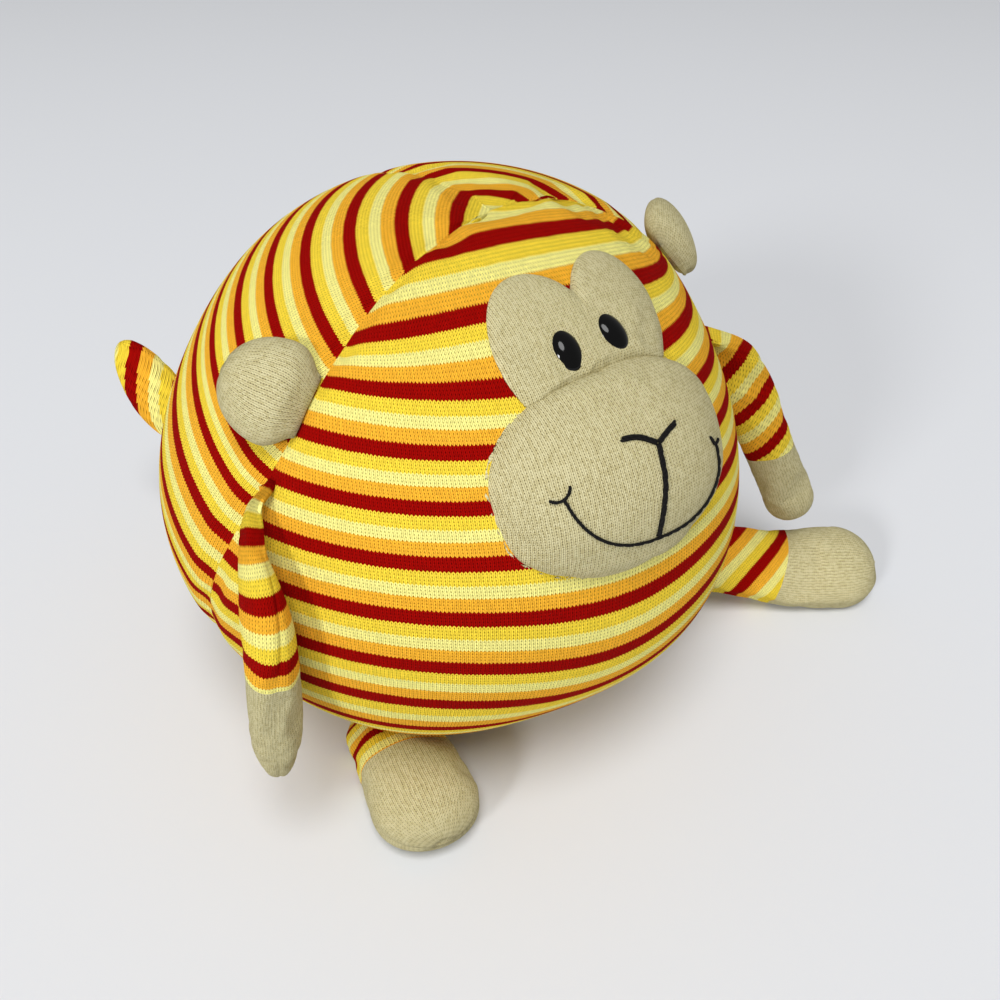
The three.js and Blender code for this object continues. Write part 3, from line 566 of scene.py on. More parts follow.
def fibre_finish():
    material, dye, shader = new_finish("stuffing_fibre")
    place = dye.node("ShaderNodeTexCoord", output="Object")
    tufts = dye.node("ShaderNodeTexNoise", values={"Vector": place, "Scale": 140, "Detail": 5})
    strands = dye.node("ShaderNodeTexNoise",
                       values={"Vector": place, "Scale": 900, "Detail": 4, "Distortion": 2})
    cotton = tufts.eased(0.35, 0.65).mixed("MIX", FIBRE_SHADOW, FIBRE_WHITE)
    cotton.feed(shader, "Base Color")
    bump = dye.node("ShaderNodeBump", values={"Height": tufts + 0.4 * strands, "Distance": TUFT})
    bump.feed(shader, "Normal")
    shader.inputs["Roughness"].default_value = 1
    return material


finish_of["filling"] = fibre_finish()
tuft_texture = bpy.data.textures.new("tufts", "CLOUDS")
tuft_texture.noise_scale = 9 * MM


def stuffed(fibre, body, node, bend=None):
    """Gives a mass of fibre its lumps, its finish and its body."""
    finished(fibre, "DISPLACE", texture=tuft_texture, strength=TUFT, mid_level=0.5)
    bpy.ops.object.shade_smooth()
    fitted(fibre, "filling", body, node, bend=bend)


def on_face(place, angle, distance):
    """Direction from the middle of the ball at an angle and a distance from a place on the face."""
    lon, lat = place
    turn = (distance / BALL_RADII[0])[..., None]
    across, up = heading(lon + 90, 0), heading(lon, lat + 90)
    aside = np.cos(angle)[..., None] * across + np.sin(angle)[..., None] * up
    return np.cos(turn) * heading(lon, lat) + np.sin(turn) * aside


def from_face(place, toward):
    """Angle and distance from a place on the face, for directions from the middle of the ball."""
    lon, lat = place
    angle = np.arctan2(toward @ heading(lon, lat + 90), toward @ heading(lon + 90, 0))
    return angle, np.arccos(np.clip(toward @ heading(lon, lat), -1, 1)) * BALL_RADII[0]


eye_ways = on_face(EYES_PLACE, np.array((math.pi, 0)), np.array((EYE_ASIDE, EYE_ASIDE)))
pick(ball)
bpy.ops.object.duplicate()
ball_stuffing = bpy.context.object
ball_stuffing.name = "ball_stuffing"
ball_stuffing.vertex_groups.clear()
bpy.ops.object.mode_set(mode="EDIT")
bpy.ops.mesh.select_all(action="SELECT")
bpy.ops.transform.shrink_fatten(value=-UNDER_KNIT)
bpy.ops.object.mode_set(mode="OBJECT")
fibre_points = points_of(ball_stuffing)
for way in eye_ways:
    aside = np.linalg.norm(np.cross(fibre_points - BALL_CENTRE, way), axis=1)
    facing = (fibre_points - BALL_CENTRE) @ way > 0
    fibre_points -= way * (WASHER_HOLLOW * eased(2 - aside / WASHER_ROOM) * facing)[:, None]
lay(ball_stuffing, fibre_points)
stuffed(ball_stuffing, "body", "body_filling")

# The cover over it is unpicked into its panels once it is round
rounded(ball)
above_floor(ball)
skin = skin_of(ball)
for panel in unpicked(ball, ("front_panel", "back_right_panel", "back_left_panel")):
    fitted(thickened(panel), "striped_knit", "body", "body_" + panel.name)


# Muzzle
# A stuffed oval of plain heathered jersey, gathered at its edge and sewn by hand to the front panel.
# Its wales run up and down, and loose fibre behind it holds it out from the ball.
MUZZLE_PLACE = (FACE_LON, 27.5)
MUZZLE_HALF = np.array((49.5, 35)) * MM
MUZZLE_DEPTH = 20 * MM
MUZZLE_SQUARENESS = 2.3
MUZZLE_CROWN = 2.1
MUZZLE_EDGE = 0.72
EDGE_SINK = 1 * MM
MUZZLE_LEAN = 0.075
LEAN_CORNER = 0.8
LEAN_SPREAD = 0.28
MUZZLE_FIBRE_INSET = 5 * MM
MUZZLE_FIBRE_SHARE = 0.78
MUZZLE_FIBRE_LIFT = 1 * MM
PLAIN_WALE = 1.15 * MM
PLAIN_COURSE = 0.95 * MM
FACE_COLUMNS = 96
MUZZLE_ROWS = 30


def raised(toward, height, surface):
    """Points at a height over a surface that lies round the middle of the ball."""
    middle = Vector(BALL_CENTRE)
    hits = [surface.ray_cast(middle, Vector(way))[0] for way in unit(toward * BALL_RADII)]
    return np.array(hits) + toward * np.asarray(height)[..., None]


def muzzle_outline(angle, inset=0):
    """Edge of a squarish oval, on the toy's left fuller above and taken in below."""
    across, up = MUZZLE_HALF - inset
    parts = (np.cos(angle) / across, np.sin(angle) / up)
    reach = sum(np.abs(part) ** MUZZLE_SQUARENESS for part in parts)
    corners = (LEAN_CORNER, -LEAN_CORNER)
    high, low = (np.exp(-(np.sin((angle - corner) / 2) / LEAN_SPREAD) ** 2) for corner in corners)
    return reach ** (-1 / MUZZLE_SQUARENESS) * (1 + MUZZLE_LEAN * (high - low))


def on_disc(u, v):
    """Angle round a disc and share of the way to its edge, with rows close together at the edge."""
    return 2 * math.pi * u, np.sin(v * math.pi / 2)


def disc_stitches(outline):
    def stitches(u, v):
        angle, share = on_disc(u, v)
        distance = share * outline(angle)
        return distance * np.cos(angle) / PLAIN_WALE, -distance * np.sin(angle) / PLAIN_COURSE
    return stitches


def disc_of_knit(name, rows, place, outline, height):
    """Oval panel on the face, its edge held and its middle raised over the front panel."""
    def spot(u, v):
        angle, share = on_disc(u, v)
        return raised(on_face(place, angle, share * outline(angle)), height(angle, share), skin)
    return panel_of_knit(name, FACE_COLUMNS, rows, spot, disc_stitches(outline), lambda u, v: v == 1)


def muzzle_height(angle, share):
    return MUZZLE_DEPTH * (1 - share**MUZZLE_CROWN) ** MUZZLE_EDGE - EDGE_SINK


def fibre_outline(angle):
    return muzzle_outline(angle, MUZZLE_FIBRE_INSET)


def fibre_height(angle, share):
    return muzzle_height(angle, share) * MUZZLE_FIBRE_SHARE + MUZZLE_FIBRE_LIFT


def fibre_base(angle, share):
    return np.full_like(share, MUZZLE_FIBRE_LIFT)


muzzle = sewn("muzzle_pad", [
    disc_of_knit("muzzle", MUZZLE_ROWS, MUZZLE_PLACE, muzzle_outline, muzzle_height),
])
swollen(muzzle, growth=0.03, limit=1.4 * MM)
stuffed(sewn("muzzle_stuffing", [
    disc_of_knit("front", MUZZLE_ROWS, MUZZLE_PLACE, fibre_outline, fibre_height),
    disc_of_knit("back", MUZZLE_ROWS, MUZZLE_PLACE, fibre_outline, fibre_base),
]), "body", "muzzle_filling")
rounded(muzzle)
muzzle_skin = skin_of(muzzle)
fitted(thickened(muzzle), "plain_knit", "body", "muzzle_cover")


# Eye patch
# A thin pad of the same jersey behind the eyes, cut as two ovals that meet in a notch, with its lower edge
# tucked under the muzzle. The eyes pull it in where their stems go through.
PATCH_PLACE = (-3, 48)
PATCH_DEPTH = 4 * MM
PATCH_EDGE = 6
# Half the width and height of each lobe and its middle across and up, in millimetres, and its lean in degrees
LOBES = (((20, 30), (-15, 2), 0), ((18, 28), (15.5, 6), -17))
TUCK = 2 * MM
PATCH_ROWS = 20
EYE_DIMPLE = 1.1 * MM
EYE_PULL = 9 * MM
PATCH_LIFT = 0.3 * MM
TUCK_STEPS = 160


def lobe_reach(angle, half, middle, lean):
    """Distance from the middle of the patch to the edge of one oval, turned by its lean."""
    half, middle, lean = np.array(half) * MM, np.array(middle) * MM, math.radians(lean)
    turned = angle - lean
    slope = np.stack((np.cos(turned), np.sin(turned)), axis=-1) / half
    turn = np.array(((math.cos(lean), math.sin(lean)), (-math.sin(lean), math.cos(lean))))
    middle = turn @ middle / half
    steep = (slope**2).sum(axis=-1)
    toward = slope @ middle
    return (toward + np.sqrt(toward**2 - steep * (middle @ middle - 1))) / steep


def patch_outline(angle):
    """Edge of the two ovals, cut off where the muzzle covers them."""
    reach = np.maximum(*(lobe_reach(angle, *lobe) for lobe in LOBES))
    steps = np.linspace(0, 1, TUCK_STEPS)[:, None]
    toward = on_face(PATCH_PLACE, np.ones_like(steps) * angle, steps * reach)
    around, distance = from_face(MUZZLE_PLACE, toward)
    covered = distance < muzzle_outline(around, TUCK)
    clear = np.where(covered.any(axis=0), covered.argmax(axis=0), len(steps) - 1)
    return reach * steps[clear, 0]


def patch_height(angle, share):
    toward = on_face(PATCH_PLACE, angle, share * patch_outline(angle))
    height = PATCH_DEPTH * np.sqrt(1 - share**PATCH_EDGE)
    for way in eye_ways:
        away = np.arccos(np.clip(toward @ way, -1, 1)) * BALL_RADII[0] / EYE_PULL
        height = height - EYE_DIMPLE * np.exp(-away**2) * (share < 1)
    return height


def patch_back_height(angle, share):
    return PATCH_LIFT * (share < 1)


patch = sewn("eye_patch_pad", [
    disc_of_knit("patch_face", PATCH_ROWS, PATCH_PLACE, patch_outline, patch_height),
    disc_of_knit("patch_back", PATCH_ROWS // 3, PATCH_PLACE, patch_outline, patch_back_height),
])
swollen(patch, growth=0.015, limit=0.6 * MM)
rounded(patch)
patch_skin = skin_of(patch)
bpy.ops.object.shade_smooth_by_angle(angle=KNIT_EDGE)
fitted(patch, "plain_knit", "body", "eye_patch")


# Safety eyes
# Two oval domes of glossy black plastic, moulded with a stem that goes through the patch and the front panel
# and is locked behind it by a pressed-on washer.
EYE_HALF = np.array((6, 8.8)) * MM
EYE_DEPTH = 5 * MM
EYE_RIM = 0.9 * MM
EYE_SEAT = 0.3 * MM
EYE_LEANS = ((1.7, -0.8), (1.3, 1))
EYE_EDGE = math.radians(40)
STEM_RADIUS = 2 * MM
STEM_LENGTH = 11 * MM


def eye_finish():
    material, dye, shader = new_finish("eye_gloss")
    place = dye.node("ShaderNodeTexCoord", output="Object")
    haze = dye.node("ShaderNodeTexNoise", values={"Vector": place, "Scale": 420, "Detail": 3})
    (0.05 + 0.06 * haze).feed(shader, "Roughness")
    shader.inputs["Base Color"].default_value = colour(6, 6, 6)
    shader.inputs["Specular IOR Level"].default_value = 0.22
    return material


finish_of["eye"] = eye_finish()


def eye_dome(name, way, lean, node):
    """One eye, its dome leaning aside on the stem by a distance across and up."""
    bpy.ops.object.select_all(action="DESELECT")
    bpy.ops.mesh.primitive_uv_sphere_add(segments=48, ring_count=32, radius=1)
    eye = bpy.context.object
    eye.name = name
    form = points_of(eye)
    form[:, :2] *= EYE_HALF
    form[:, 2] *= np.where(form[:, 2] > 0, EYE_DEPTH, EYE_RIM)
    lay(eye, form)
    mark_faces(eye, [face.center.z < 0 and face.center.xy.length < STEM_RADIUS for face in eye.data.polygons])
    bpy.ops.mesh.extrude_region_move(TRANSFORM_OT_translate={"value": (0, 0, -STEM_LENGTH)})
    bpy.ops.object.mode_set(mode="OBJECT")
    across = unit(np.cross((0, 0, 1), way))
    aside = across * lean[0] * MM + np.cross(way, across) * lean[1] * MM
    seat = raised(way[None], np.array((EYE_RIM / 2 + EYE_SEAT,)), patch_skin)[0] + aside
    out = unit(way * STEM_LENGTH + aside)
    across = unit(np.cross((0, 0, 1), out))
    lay(eye, seat + points_of(eye) @ np.stack((across, np.cross(out, across), out)))
    pick(eye)
    bpy.ops.object.shade_smooth_by_angle(angle=EYE_EDGE)
    fitted(eye, "eye", "body", node)


for side, way, lean in zip(("right", "left"), eye_ways, EYE_LEANS):
    eye_dome(f"eye_{side}_dome", way, lean, f"eye_{side}")


# Washers
# A round disc of milky plastic behind each eye, bored for the stem and pressed onto it from inside before the
# ball is stuffed.
def washer_finish():
    material, dye, shader = new_finish("washer_plastic")
    place = dye.node("ShaderNodeTexCoord", output="Object")
    milk = dye.node("ShaderNodeTexNoise", values={"Vector": place, "Scale": 300, "Detail": 4})
    tint = milk.mixed("MIX", colour(222, 222, 216), colour(240, 240, 236))
    tint.feed(shader, "Base Color")
    (0.4 + 0.2 * milk).feed(shader, "Roughness")
    return material


finish_of["washer"] = washer_finish()
for side in ("right", "left"):
    washer = frame["nodes"][f"eye_{side}_washer"]
    washer.data.materials.clear()
    washer.data.materials.append(finish_of["washer"])


# Nose and smile
# Worked by hand in black embroidery thread after stuffing: the nose in close double stitches, the smile in
# single back stitches with a short tick at each cheek. Every stitch dips into the knit at both ends.
NOSE_ARMS = (((2, 8.5), (-3.5, 12), (-9, 13)), ((2, 8.5), (7, 10.8), (11.2, 12.2)))
NOSE_LINE = ((2, 8.5), (1.5, 4), (1, -2), (-0.6, -10), (-1.7, -16.7), (-1.9, -20.4))
SMILE = ((-29, 1.2), (-27, -5.2), (-23.5, -11.2), (-18.5, -15.9), (-12.5, -18.9), (-6, -20.3), (-1.9, -20.6),
         (3, -20.9), (12, -20.6), (21, -17.3), (27.5, -9.5), (27.5, 0.5))
TICKS = (((-33, 1.8), (-30.7, 0.8), (-28, 1.8), (-26.2, 4.8)), ((24.5, 3.4), (26.5, 0.3), (30.5, 0.9)))
THREAD_RADIUS = 0.55 * MM
STRAND_STEP = 1.5 * THREAD_RADIUS
SKETCH_STEPS = 60
SEWN_STEPS = 200
STITCH_LENGTH = 4 * MM
STITCH_RISE = 0.2 * MM
STITCH_DIP = 0.25 * MM
STITCH_LAP = 0.14
STITCH_ROWS = 12
STITCH_SIDES = 10


def thread_finish():
    """Two plies twisted together, dull black with a faint painted shine, a lighter black along the crest of
    each ply.
    """
    material, dye, shader = new_finish("black_thread")
    twist = dye.node("ShaderNodeTexCoord", output="UV")
    round_ = dye.node("ShaderNodeSeparateXYZ", values={"Vector": twist}, output="X")
    along = dye.node("ShaderNodeSeparateXYZ", values={"Vector": twist}, output="Y")
    ply = abs(2 * ((2 * round_ + along) % 1) - 1)
    # Painted shine: each ply is a little lighter along its crest.
    black_with_painted_shine = ply.mixed("MIX", colour(8, 7, 7), colour(22, 20, 19))
    black_with_painted_shine.feed(shader, "Base Color")
    bump = dye.node("ShaderNodeBump", values={"Height": ply, "Distance": 0.2 * MM})
    bump.feed(shader, "Normal")
    shader.inputs["Roughness"].default_value = 0.7
    shader.inputs["Specular IOR Level"].default_value = 0.15
    return material


finish_of["thread"] = thread_finish()


def blunt(v, power):
    """Size along a rod with blunt ends, as a share of its full size."""
    return np.sqrt(np.clip(1 - (2 * v - 1) ** power, 0, 1))


def stitch(path, outward):
    """One stitch along a short path: a round strand that rises from the knit and dips in at its ends."""
    def place(u, v):
        row = v * (len(path) - 1)
        middle = np.stack([np.interp(row, np.arange(len(path)), path[:, axis]) for axis in range(3)], axis=1)
        along = unit(path[-1] - path[0])
        side = unit(np.cross(along, outward))
        up = np.cross(side, along)
        bow = np.sin(math.pi * v)
        lift = STITCH_RISE * bow - STITCH_DIP * (1 - bow) ** 2 + 0.6 * THREAD_RADIUS
        size = THREAD_RADIUS * blunt(v, 8)
        turn = 2 * math.pi * u
        ring = np.cos(turn)[:, None] * side + np.sin(turn)[:, None] * up
        return middle + lift[:, None] * up + size[:, None] * ring
    return panel_of_knit("stitch", STITCH_SIDES, STITCH_ROWS, place,
                         lambda u, v: (u, 3 * v), lambda u, v: v < 0)


def stitched(places, strands):
    """Stitches along a line of places across and up on the muzzle, in one or more strands side by side."""
    flat = smooth_line([(across, up, 0) for across, up in places], SKETCH_STEPS) * MM
    toward = on_face(MUZZLE_PLACE, np.arctan2(flat[:, 1], flat[:, 0]), np.hypot(flat[:, 0], flat[:, 1]))
    line = smooth_line(raised(toward, np.zeros(len(toward)), muzzle_skin), SEWN_STEPS)
    length = np.linalg.norm(np.diff(line, axis=0), axis=1).sum()
    count = max(1, round(length / STITCH_LENGTH))
    stitches = []
    for strand in range(strands):
        shift = 0.5 * strand / strands
        offset = (strand - (strands - 1) / 2) * STRAND_STEP
        for number in range(count):
            begin = int(max(0, (number - shift - STITCH_LAP) / count) * (SEWN_STEPS - 1))
            end = int(min(1, (number + 1 - shift + STITCH_LAP) / count) * (SEWN_STEPS - 1))
            path = line[begin:max(end, begin + 2)]
            outward = unit(path.mean(axis=0) - BALL_CENTRE)
            aside = unit(np.cross(path[-1] - path[0], outward))
            stitches.append(stitch(path + offset * aside, outward))
    return stitches


def embroidery(name, stitches, node):
    piece = sewn(name, stitches)
    pick(piece)
    bpy.ops.object.shade_smooth()
    fitted(piece, "thread", "body", node)


nose = [one for line in (NOSE_LINE, *NOSE_ARMS) for one in stitched(line, 2)]
embroidery("nose_stitches", nose, "nose_embroidery")
smile = [one for line in (SMILE, *TICKS) for one in stitched(line, 1)]
embroidery("smile_stitches", smile, "smile_embroidery")


# Ears
# Each is a stuffed oval of two plain jersey covers, pinched flat at its root and caught in the side seam.
# It leans back and bends at the seam, where its cover stays with the ball over a short share of its length.
PINCH = 4.4 * MM
ROOT_SINK = 2 * MM
BALL_GAP = 1.3 * MM
FLOOR_GAP = 0.4 * MM
CLEARING = 16 * MM
BEND_SHARE = 0.08
LIMB_SEAM = 0.07
SEAM_SPREAD = 0.22
HALF_COLUMNS = 18
ROW_STEP = 2.6 * MM
TIP_CLOSING = 1.6
FIBRE_START = 0.45
EAR_LON, EAR_LAT = 68, 40.5
EAR_LEAN = math.radians(62)
EAR_LENGTH = 29 * MM
EAR_RISE = 3 * MM
EAR_WALES = 36
joints = {joint["child"]: joint for joint in frame["joints"]}


def body_axes(lon, lat):
    """Outward, downward and towards the face, at a place on the ball."""
    out = unit(heading(lon, lat) / BALL_RADII)
    front = heading(lon + 90, 0) * (-1 if lon > 0 else 1)
    down = np.cross(front, out)
    return out, down * -np.sign(down[2]), front


def in_axes(axes, amounts):
    return sum(axis * amount for axis, amount in zip(axes, amounts))


def clear_of_ball(points, gaps, lift):
    """Points moved to a gap from the ball, and off the floor."""
    for index, (point, gap) in enumerate(zip(points, gaps)):
        spot, normal, _, _ = skin.find_nearest(Vector(point))
        if (Vector(point) - spot).dot(normal) < gap:
            points[index] = spot + normal * gap
    points[:, 2] = np.maximum(points[:, 2], lift)
    return points


class Limb:
    """A stuffed limb: its centre line from its hinge, and the size of its section along it.

    It is full past its swell and turned past its twist. Its cuff and tip are counted from its end. A slide
    moves it along its hinge, a slant tilts its cuff, a rise shapes its swelling and a seam creases its sides.
    """

    def __init__(self, body, bends, hang, across, end_across, length, root, width, end_width, thickness,
                 swell, twist, cuff, tip, slide=0, slant=0, rise=1, seam=LIMB_SEAM):
        pivot = np.array(joints[body]["pos_m"]) + across * slide
        start = pivot - unit(bends[0]) * (PINCH / 2 + ROOT_SINK)
        line = [start, pivot, *(pivot + bend for bend in bends)]
        bent = np.linalg.norm(np.diff(smooth_line(line, LINE_STEPS // 2), axis=0), axis=1).sum()
        line.append(line[-1] + unit(hang) * (length + ROOT_SINK - bent))
        self.body = body
        self.line = smooth_line(line, LINE_STEPS)
        self.tangents = unit(np.gradient(self.line, axis=0))
        self.places = np.linspace(-ROOT_SINK, length, LINE_STEPS)
        self.bend = [self.line[np.searchsorted(self.places, along)] for along in (0, BEND_SHARE * length)]
        self.across, self.end_across = across, end_across
        self.length, self.cuff, self.tip = length, cuff, tip
        self.root, self.width, self.end_width, self.thickness = root, width, end_width, thickness
        self.swell, self.twist, self.slant, self.rise, self.seam = swell, twist, slant, rise, seam

    def section(self, along):
        """Half the width and half the thickness."""
        full = eased(along / self.swell) ** self.rise
        flare = eased((along - self.length + 1.5 * self.cuff) / self.cuff)
        past = np.maximum(0, along - (self.length - self.tip)) / self.tip
        close = np.sqrt(np.clip(1 - past**2, 0, 1))
        pinch = np.sqrt(1 - np.clip(1 - (along + ROOT_SINK) / (PINCH / 2), 0, 1) ** 2)
        width = self.width + (self.end_width - self.width) * flare
        half_width = (self.root + (width - self.root) * full) / 2 * close
        half_thickness = (PINCH + (self.thickness - PINCH) * full) / 2 * close * pinch
        return half_width, half_thickness

    def place(self, along, angle, inset=0, share=1):
        """Points on the cover, or at a share of the way out to a layer inside it."""
        half_width, half_thickness = (np.maximum(half - inset, 0) * share for half in self.section(along))
        middle, tangent = (
            np.stack([np.interp(along, self.places, track[:, axis]) for axis in range(3)], axis=1)
            for track in (self.line, self.tangents))
        turned = eased(along / self.twist)[:, None]
        across = self.across * (1 - turned) + self.end_across * turned
        across = unit(across - tangent * (across * tangent).sum(axis=1, keepdims=True))
        outward = np.cross(tangent, across)
        crease = 1 - self.seam * np.exp(-(np.sin(angle) / SEAM_SPREAD) ** 2) * eased(along / self.swell)
        points = middle + across * (half_width * crease * np.cos(angle))[:, None]
        points += outward * (half_thickness * np.sin(angle))[:, None]
        free = eased(along / CLEARING)
        return clear_of_ball(points, inset + BALL_GAP * free - 2 * ROOT_SINK * (1 - free), inset + FLOOR_GAP)

    def stuffing(self):
        """Mass of fibre from where the pinch opens to just short of the tip."""
        begin = FIBRE_START * self.swell
        end = self.length - UNDER_KNIT

        def place(u, v):
            return self.place(begin + (end - begin) * v, 2 * math.pi * u, UNDER_KNIT, blunt(v, 10))

        rows = math.ceil((end - begin) / ROW_STEP)
        mass = panel_of_knit("fibre", 2 * HALF_COLUMNS, rows, place, lambda u, v: (u, v), lambda u, v: v < 0)
        stuffed(sewn(self.body + "_stuffing", [mass]), self.body, self.body + "_filling", self.bend)


def half_tube(name, limb, start, end, side, stitches):
    """Half of a limb's cover between two distances along it, its rows closing up at the tip."""
    closing = TIP_CLOSING if end == limb.length else 1

    def track(u, v):
        angle = math.pi * (u if side > 0 else 1 + u)
        askew = limb.slant * np.cos(angle) * (v if start < 0 else 1 - v)
        return start + (end - start) * (1 - (1 - v) ** closing) + askew, angle

    def held(u, v):
        return (u == 0) | (u == 1) | ((v == 0) & (start < 0))

    rows = math.ceil(closing * (end - start) / ROW_STEP)
    return panel_of_knit(name, HALF_COLUMNS, rows, lambda u, v: limb.place(*track(u, v)),
                         lambda u, v: stitches(*track(u, v)), held)


def plain_stitches(wales, course):
    return lambda along, angle: (angle / math.pi * wales, along / course)


def limb_cover(limb, panels, growth=0.03, limit=1.2 * MM):
    """Sews, stuffs and unpicks a limb's cover. Each panel is a CAD node, its reach, its side and its knit."""
    limb.stuffing()
    cover = sewn(limb.body + "_cover", [
        half_tube(node, limb, start, end, side, stitches) for node, start, end, side, stitches, _ in panels])
    swollen(cover, growth, limit)
    above_floor(cover)
    rounded(cover)
    above_floor(cover)
    names = [node + "_knit" for node, *_ in panels]
    for piece, (node, start, *_, slot) in zip(unpicked(cover, names), panels):
        fitted(thickened(piece), slot, limb.body, node, bend=limb.bend if start < 0 else None)


for side, sign in (("right", -1), ("left", 1)):
    body = f"ear_{side}"
    out, down, front = body_axes(sign * EAR_LON, EAR_LAT)
    axis = np.array(joints[body]["axis"])
    swept = unit(axis * (front @ axis) - front)
    lean = out * math.cos(EAR_LEAN) + swept * math.sin(EAR_LEAN)
    ear = Limb(body, [lean * EAR_LENGTH / 2], lean, axis, axis, length=EAR_LENGTH, root=22 * MM,
               width=36 * MM, end_width=36 * MM, thickness=14 * MM, swell=9 * MM, twist=14 * MM,
               cuff=EAR_LENGTH / 2, tip=20 * MM, slide=np.sign(axis[2]) * sign * EAR_RISE, rise=0.5, seam=0)
    knit = plain_stitches(EAR_WALES, PLAIN_COURSE)
    limb_cover(ear, [
        (f"{body}_front", -ROOT_SINK, ear.length, 1, knit, "plain_knit"),
        (f"{body}_back", -ROOT_SINK, ear.length, -1, knit, "plain_knit"),
    ])


# Arms
# Stuffed tubes of the striped jersey with a plain jersey paw sewn on at a straight cuff, caught in the side
# seams at the shoulders. The right arm hangs in front of the ball, turned edge on. The left one stands away.
ARM_WALES = 25
PAW_COURSE = 1.05 * MM


def striped_stitches(limb, wales, course, red_at, order, skew):
    """Bands round a limb, counted from a red one, with the cloth turned askew on the limb."""
    def stitches(along, angle):
        half_width, _ = limb.section(along)
        askew = along - skew * half_width * np.cos(angle)
        return (angle / math.pi - skew * along / limb.width) * wales, order * (askew - red_at) / course
    return stitches


def tube_limb(limb, names, wales, bands):
    """Striped sleeve and plain end, each in two halves."""
    cuff = limb.length - limb.cuff
    stripes = striped_stitches(limb, wales, *bands)
    plain = plain_stitches(wales * WALE / PLAIN_WALE, PAW_COURSE)
    outer, inner, outer_end, inner_end = names
    limb_cover(limb, [
        (outer, -ROOT_SINK, cuff, 1, stripes, "striped_knit"),
        (inner, -ROOT_SINK, cuff, -1, stripes, "striped_knit"),
        (outer_end, cuff, limb.length, 1, plain, "plain_knit"),
        (inner_end, cuff, limb.length, -1, plain, "plain_knit"),
    ])


# Each arm: its shoulder, its bends outward, downward and forward, how it hangs and which way its paw faces,
# then root, swell, twist, paw and tip in millimetres, and its bands: course, distance to a red one, order
# and skew
ARMS = {
    "right": ((-70, 25), ((5, 6, 0), (8, 18, 4), (2.5, 44, 11)), (-0.42, 0.905, -0.08), (-25, 0),
              (4, 60, 95, 60, 28), (1.26 * MM, 39.5 * MM, -1, 0)),
    "left": ((74, 17), ((5, 6, 0), (10, 16, 2), (14, 36, 6)), (0.12, 0.97, 0.18), (-129, -29),
             (24, 26, 48, 47, 16), (1.48 * MM, 28 * MM, 1, 0.55)),
}
for side, (shoulder, bends, hang, facing, shape, bands) in ARMS.items():
    axes = body_axes(*shoulder)
    body = f"arm_{side}"
    root, swell, twist, paw, tip = np.array(shape) * MM
    arm = Limb(body, [in_axes(axes, bend) * MM for bend in bends], in_axes(axes, hang),
               -np.array(joints[body]["axis"]), heading(*facing), length=130 * MM, root=root, width=27 * MM,
               end_width=26 * MM, thickness=18 * MM, swell=swell, twist=twist, cuff=paw, tip=tip)
    names = (f"{body}_sleeve_outer", f"{body}_sleeve_inner", f"paw_{side}_outer", f"paw_{side}_inner")
    tube_limb(arm, names, ARM_WALES, bands)


# Legs
# Wider stuffed tubes that are sewn to the front panel and lie on the floor, each with a plain jersey foot
# whose top and sole meet in a seam round the toe. The right leg is half tucked under the belly.
LEG_WALES = 36
UP = np.array((0, 0, 1))
# Each leg: length, foot, heading, bends as distance and height, roll and slant of its foot, and its bands
LEGS = {
    "right": (91 * MM, 43 * MM, -14, ((12, 5), (26, 7.5), (46, 12)), (0, 0), (1.12 * MM, 37 * MM, 1, 0)),
    "left": (127 * MM, 52 * MM, 54.7, ((12, 34), (30, 26), (50, 20), (72, 15.3)), (24, 6),
             (1.6 * MM, 63 * MM, -1, 0.8)),
}
for side, (length, foot, turn, bends, (roll, slant), bands) in LEGS.items():
    body = f"leg_{side}"
    away = heading(turn, 0)
    hip = np.array(joints[body]["pos_m"])
    offsets = [away * distance * MM + UP * (height * MM - hip[2]) for distance, height in bends]
    across = np.cross(UP, away)
    rolled = across * math.cos(math.radians(roll)) + UP * math.sin(math.radians(roll))
    leg = Limb(body, offsets, away, across, rolled, length=length, root=22 * MM, width=41 * MM,
               end_width=47 * MM, thickness=25 * MM, swell=26 * MM, twist=48 * MM, cuff=foot, tip=22 * MM,
               slant=slant * MM)
    names = (f"{body}_sleeve_top", f"{body}_sleeve_sole", f"foot_{side}_top", f"foot_{side}_sole")
    tube_limb(leg, names, LEG_WALES, bands)


# Tail
# A flat stuffed tube of the striped jersey, closed by a long round end and caught in the centre back seam. It
# swings to the toy's right and turns up, and its cloth lies askew on it.
TAIL_PLACE = (180, -13)
TAIL_WALES = 14
TAIL_BANDS = (2.4 * MM, 121 * MM, 1, 1.2)
TAIL_BENDS = ((10, 5, 0), (28, 29, -5), (45, 50, -8), (55, 61, 0))
TAIL_HANG = (0.45, 0.3, 0.9)
tail_axes = (body_axes(*TAIL_PLACE)[0], np.array((-1, 0, 0)), UP)
tail_across = -np.array(joints["tail"]["axis"])
tail = Limb("tail", [in_axes(tail_axes, bend) * MM for bend in TAIL_BENDS], in_axes(tail_axes, TAIL_HANG),
            tail_across, tail_across, length=134 * MM, root=28 * MM, width=35 * MM, end_width=33 * MM,
            thickness=18 * MM, swell=26 * MM, twist=48 * MM, cuff=67 * MM, tip=45 * MM)
tail_stripes = striped_stitches(tail, TAIL_WALES, *TAIL_BANDS)
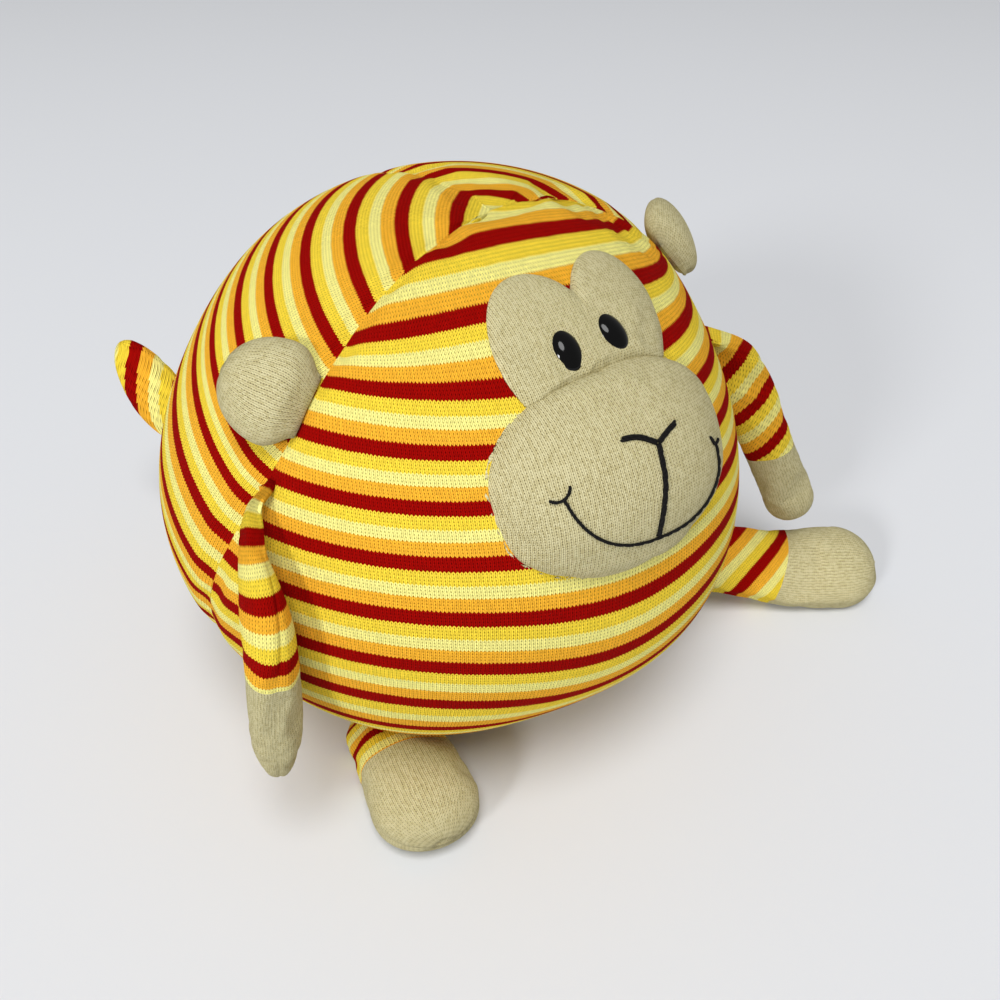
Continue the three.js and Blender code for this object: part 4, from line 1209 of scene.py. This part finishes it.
limb_cover(tail, [
    ("tail_outer", -ROOT_SINK, tail.length, 1, tail_stripes, "striped_knit"),
    ("tail_inner", -ROOT_SINK, tail.length, -1, tail_stripes, "striped_knit"),
])


# Floor, light and camera
# A plain pale floor under a soft ceiling light and a window on the viewer's left, seen from above the toy's
# right shoulder.
ROOM_LIGHT = 0.34
BACKDROP = 0.5
CAMERA_PLACE = (-0.2150, -0.2959, 0.3617)
CAMERA_TILT = math.radians(53.2)
CAMERA_TURN = math.radians(-38.8)
bpy.ops.object.select_all(action="DESELECT")
bpy.ops.mesh.primitive_plane_add(size=8)
floor = bpy.context.object
floor.name = "floor"
floor_finish, _, floor_shader = new_finish("pale_floor")
floor_shader.inputs["Base Color"].default_value = colour(220, 222, 226)
floor_shader.inputs["Roughness"].default_value = 0.9
floor.data.materials.append(floor_finish)


def soft_lamp(name, place, size, power):
    bpy.ops.object.light_add(type="AREA", location=place)
    lamp = bpy.context.object
    lamp.name = name
    lamp.rotation_euler = (Vector(BALL_CENTRE) - Vector(place)).to_track_quat("-Z", "Y").to_euler()
    lamp.data.shape = "DISK"
    lamp.data.size = size
    lamp.data.energy = power


soft_lamp("ceiling", (-1.6, -2.0, 5.6), size=2.9, power=245)
soft_lamp("window", (-5.2, -1.8, 2.4), size=1, power=144)

world = bpy.data.worlds.new("pale_room")
world.use_nodes = True
bpy.context.scene.world = world
sky = Dye(world.node_tree)
seen = sky.node("ShaderNodeLightPath", output="Is Camera Ray")
background = next(node for node in world.node_tree.nodes if node.type == "BACKGROUND")
background.inputs["Color"].default_value = (1, 1, 1, 1)
(ROOM_LIGHT + BACKDROP * seen).feed(background, "Strength")

bpy.ops.object.camera_add(location=CAMERA_PLACE)
camera = bpy.context.object
camera.name = "camera"
camera.rotation_euler = (CAMERA_TILT, 0, CAMERA_TURN)
camera.data.lens = 36
camera.data.sensor_width = 36
camera.data.clip_start = 0.01
bpy.context.scene.camera = camera
bpy.context.scene.view_settings.view_transform = "Standard"
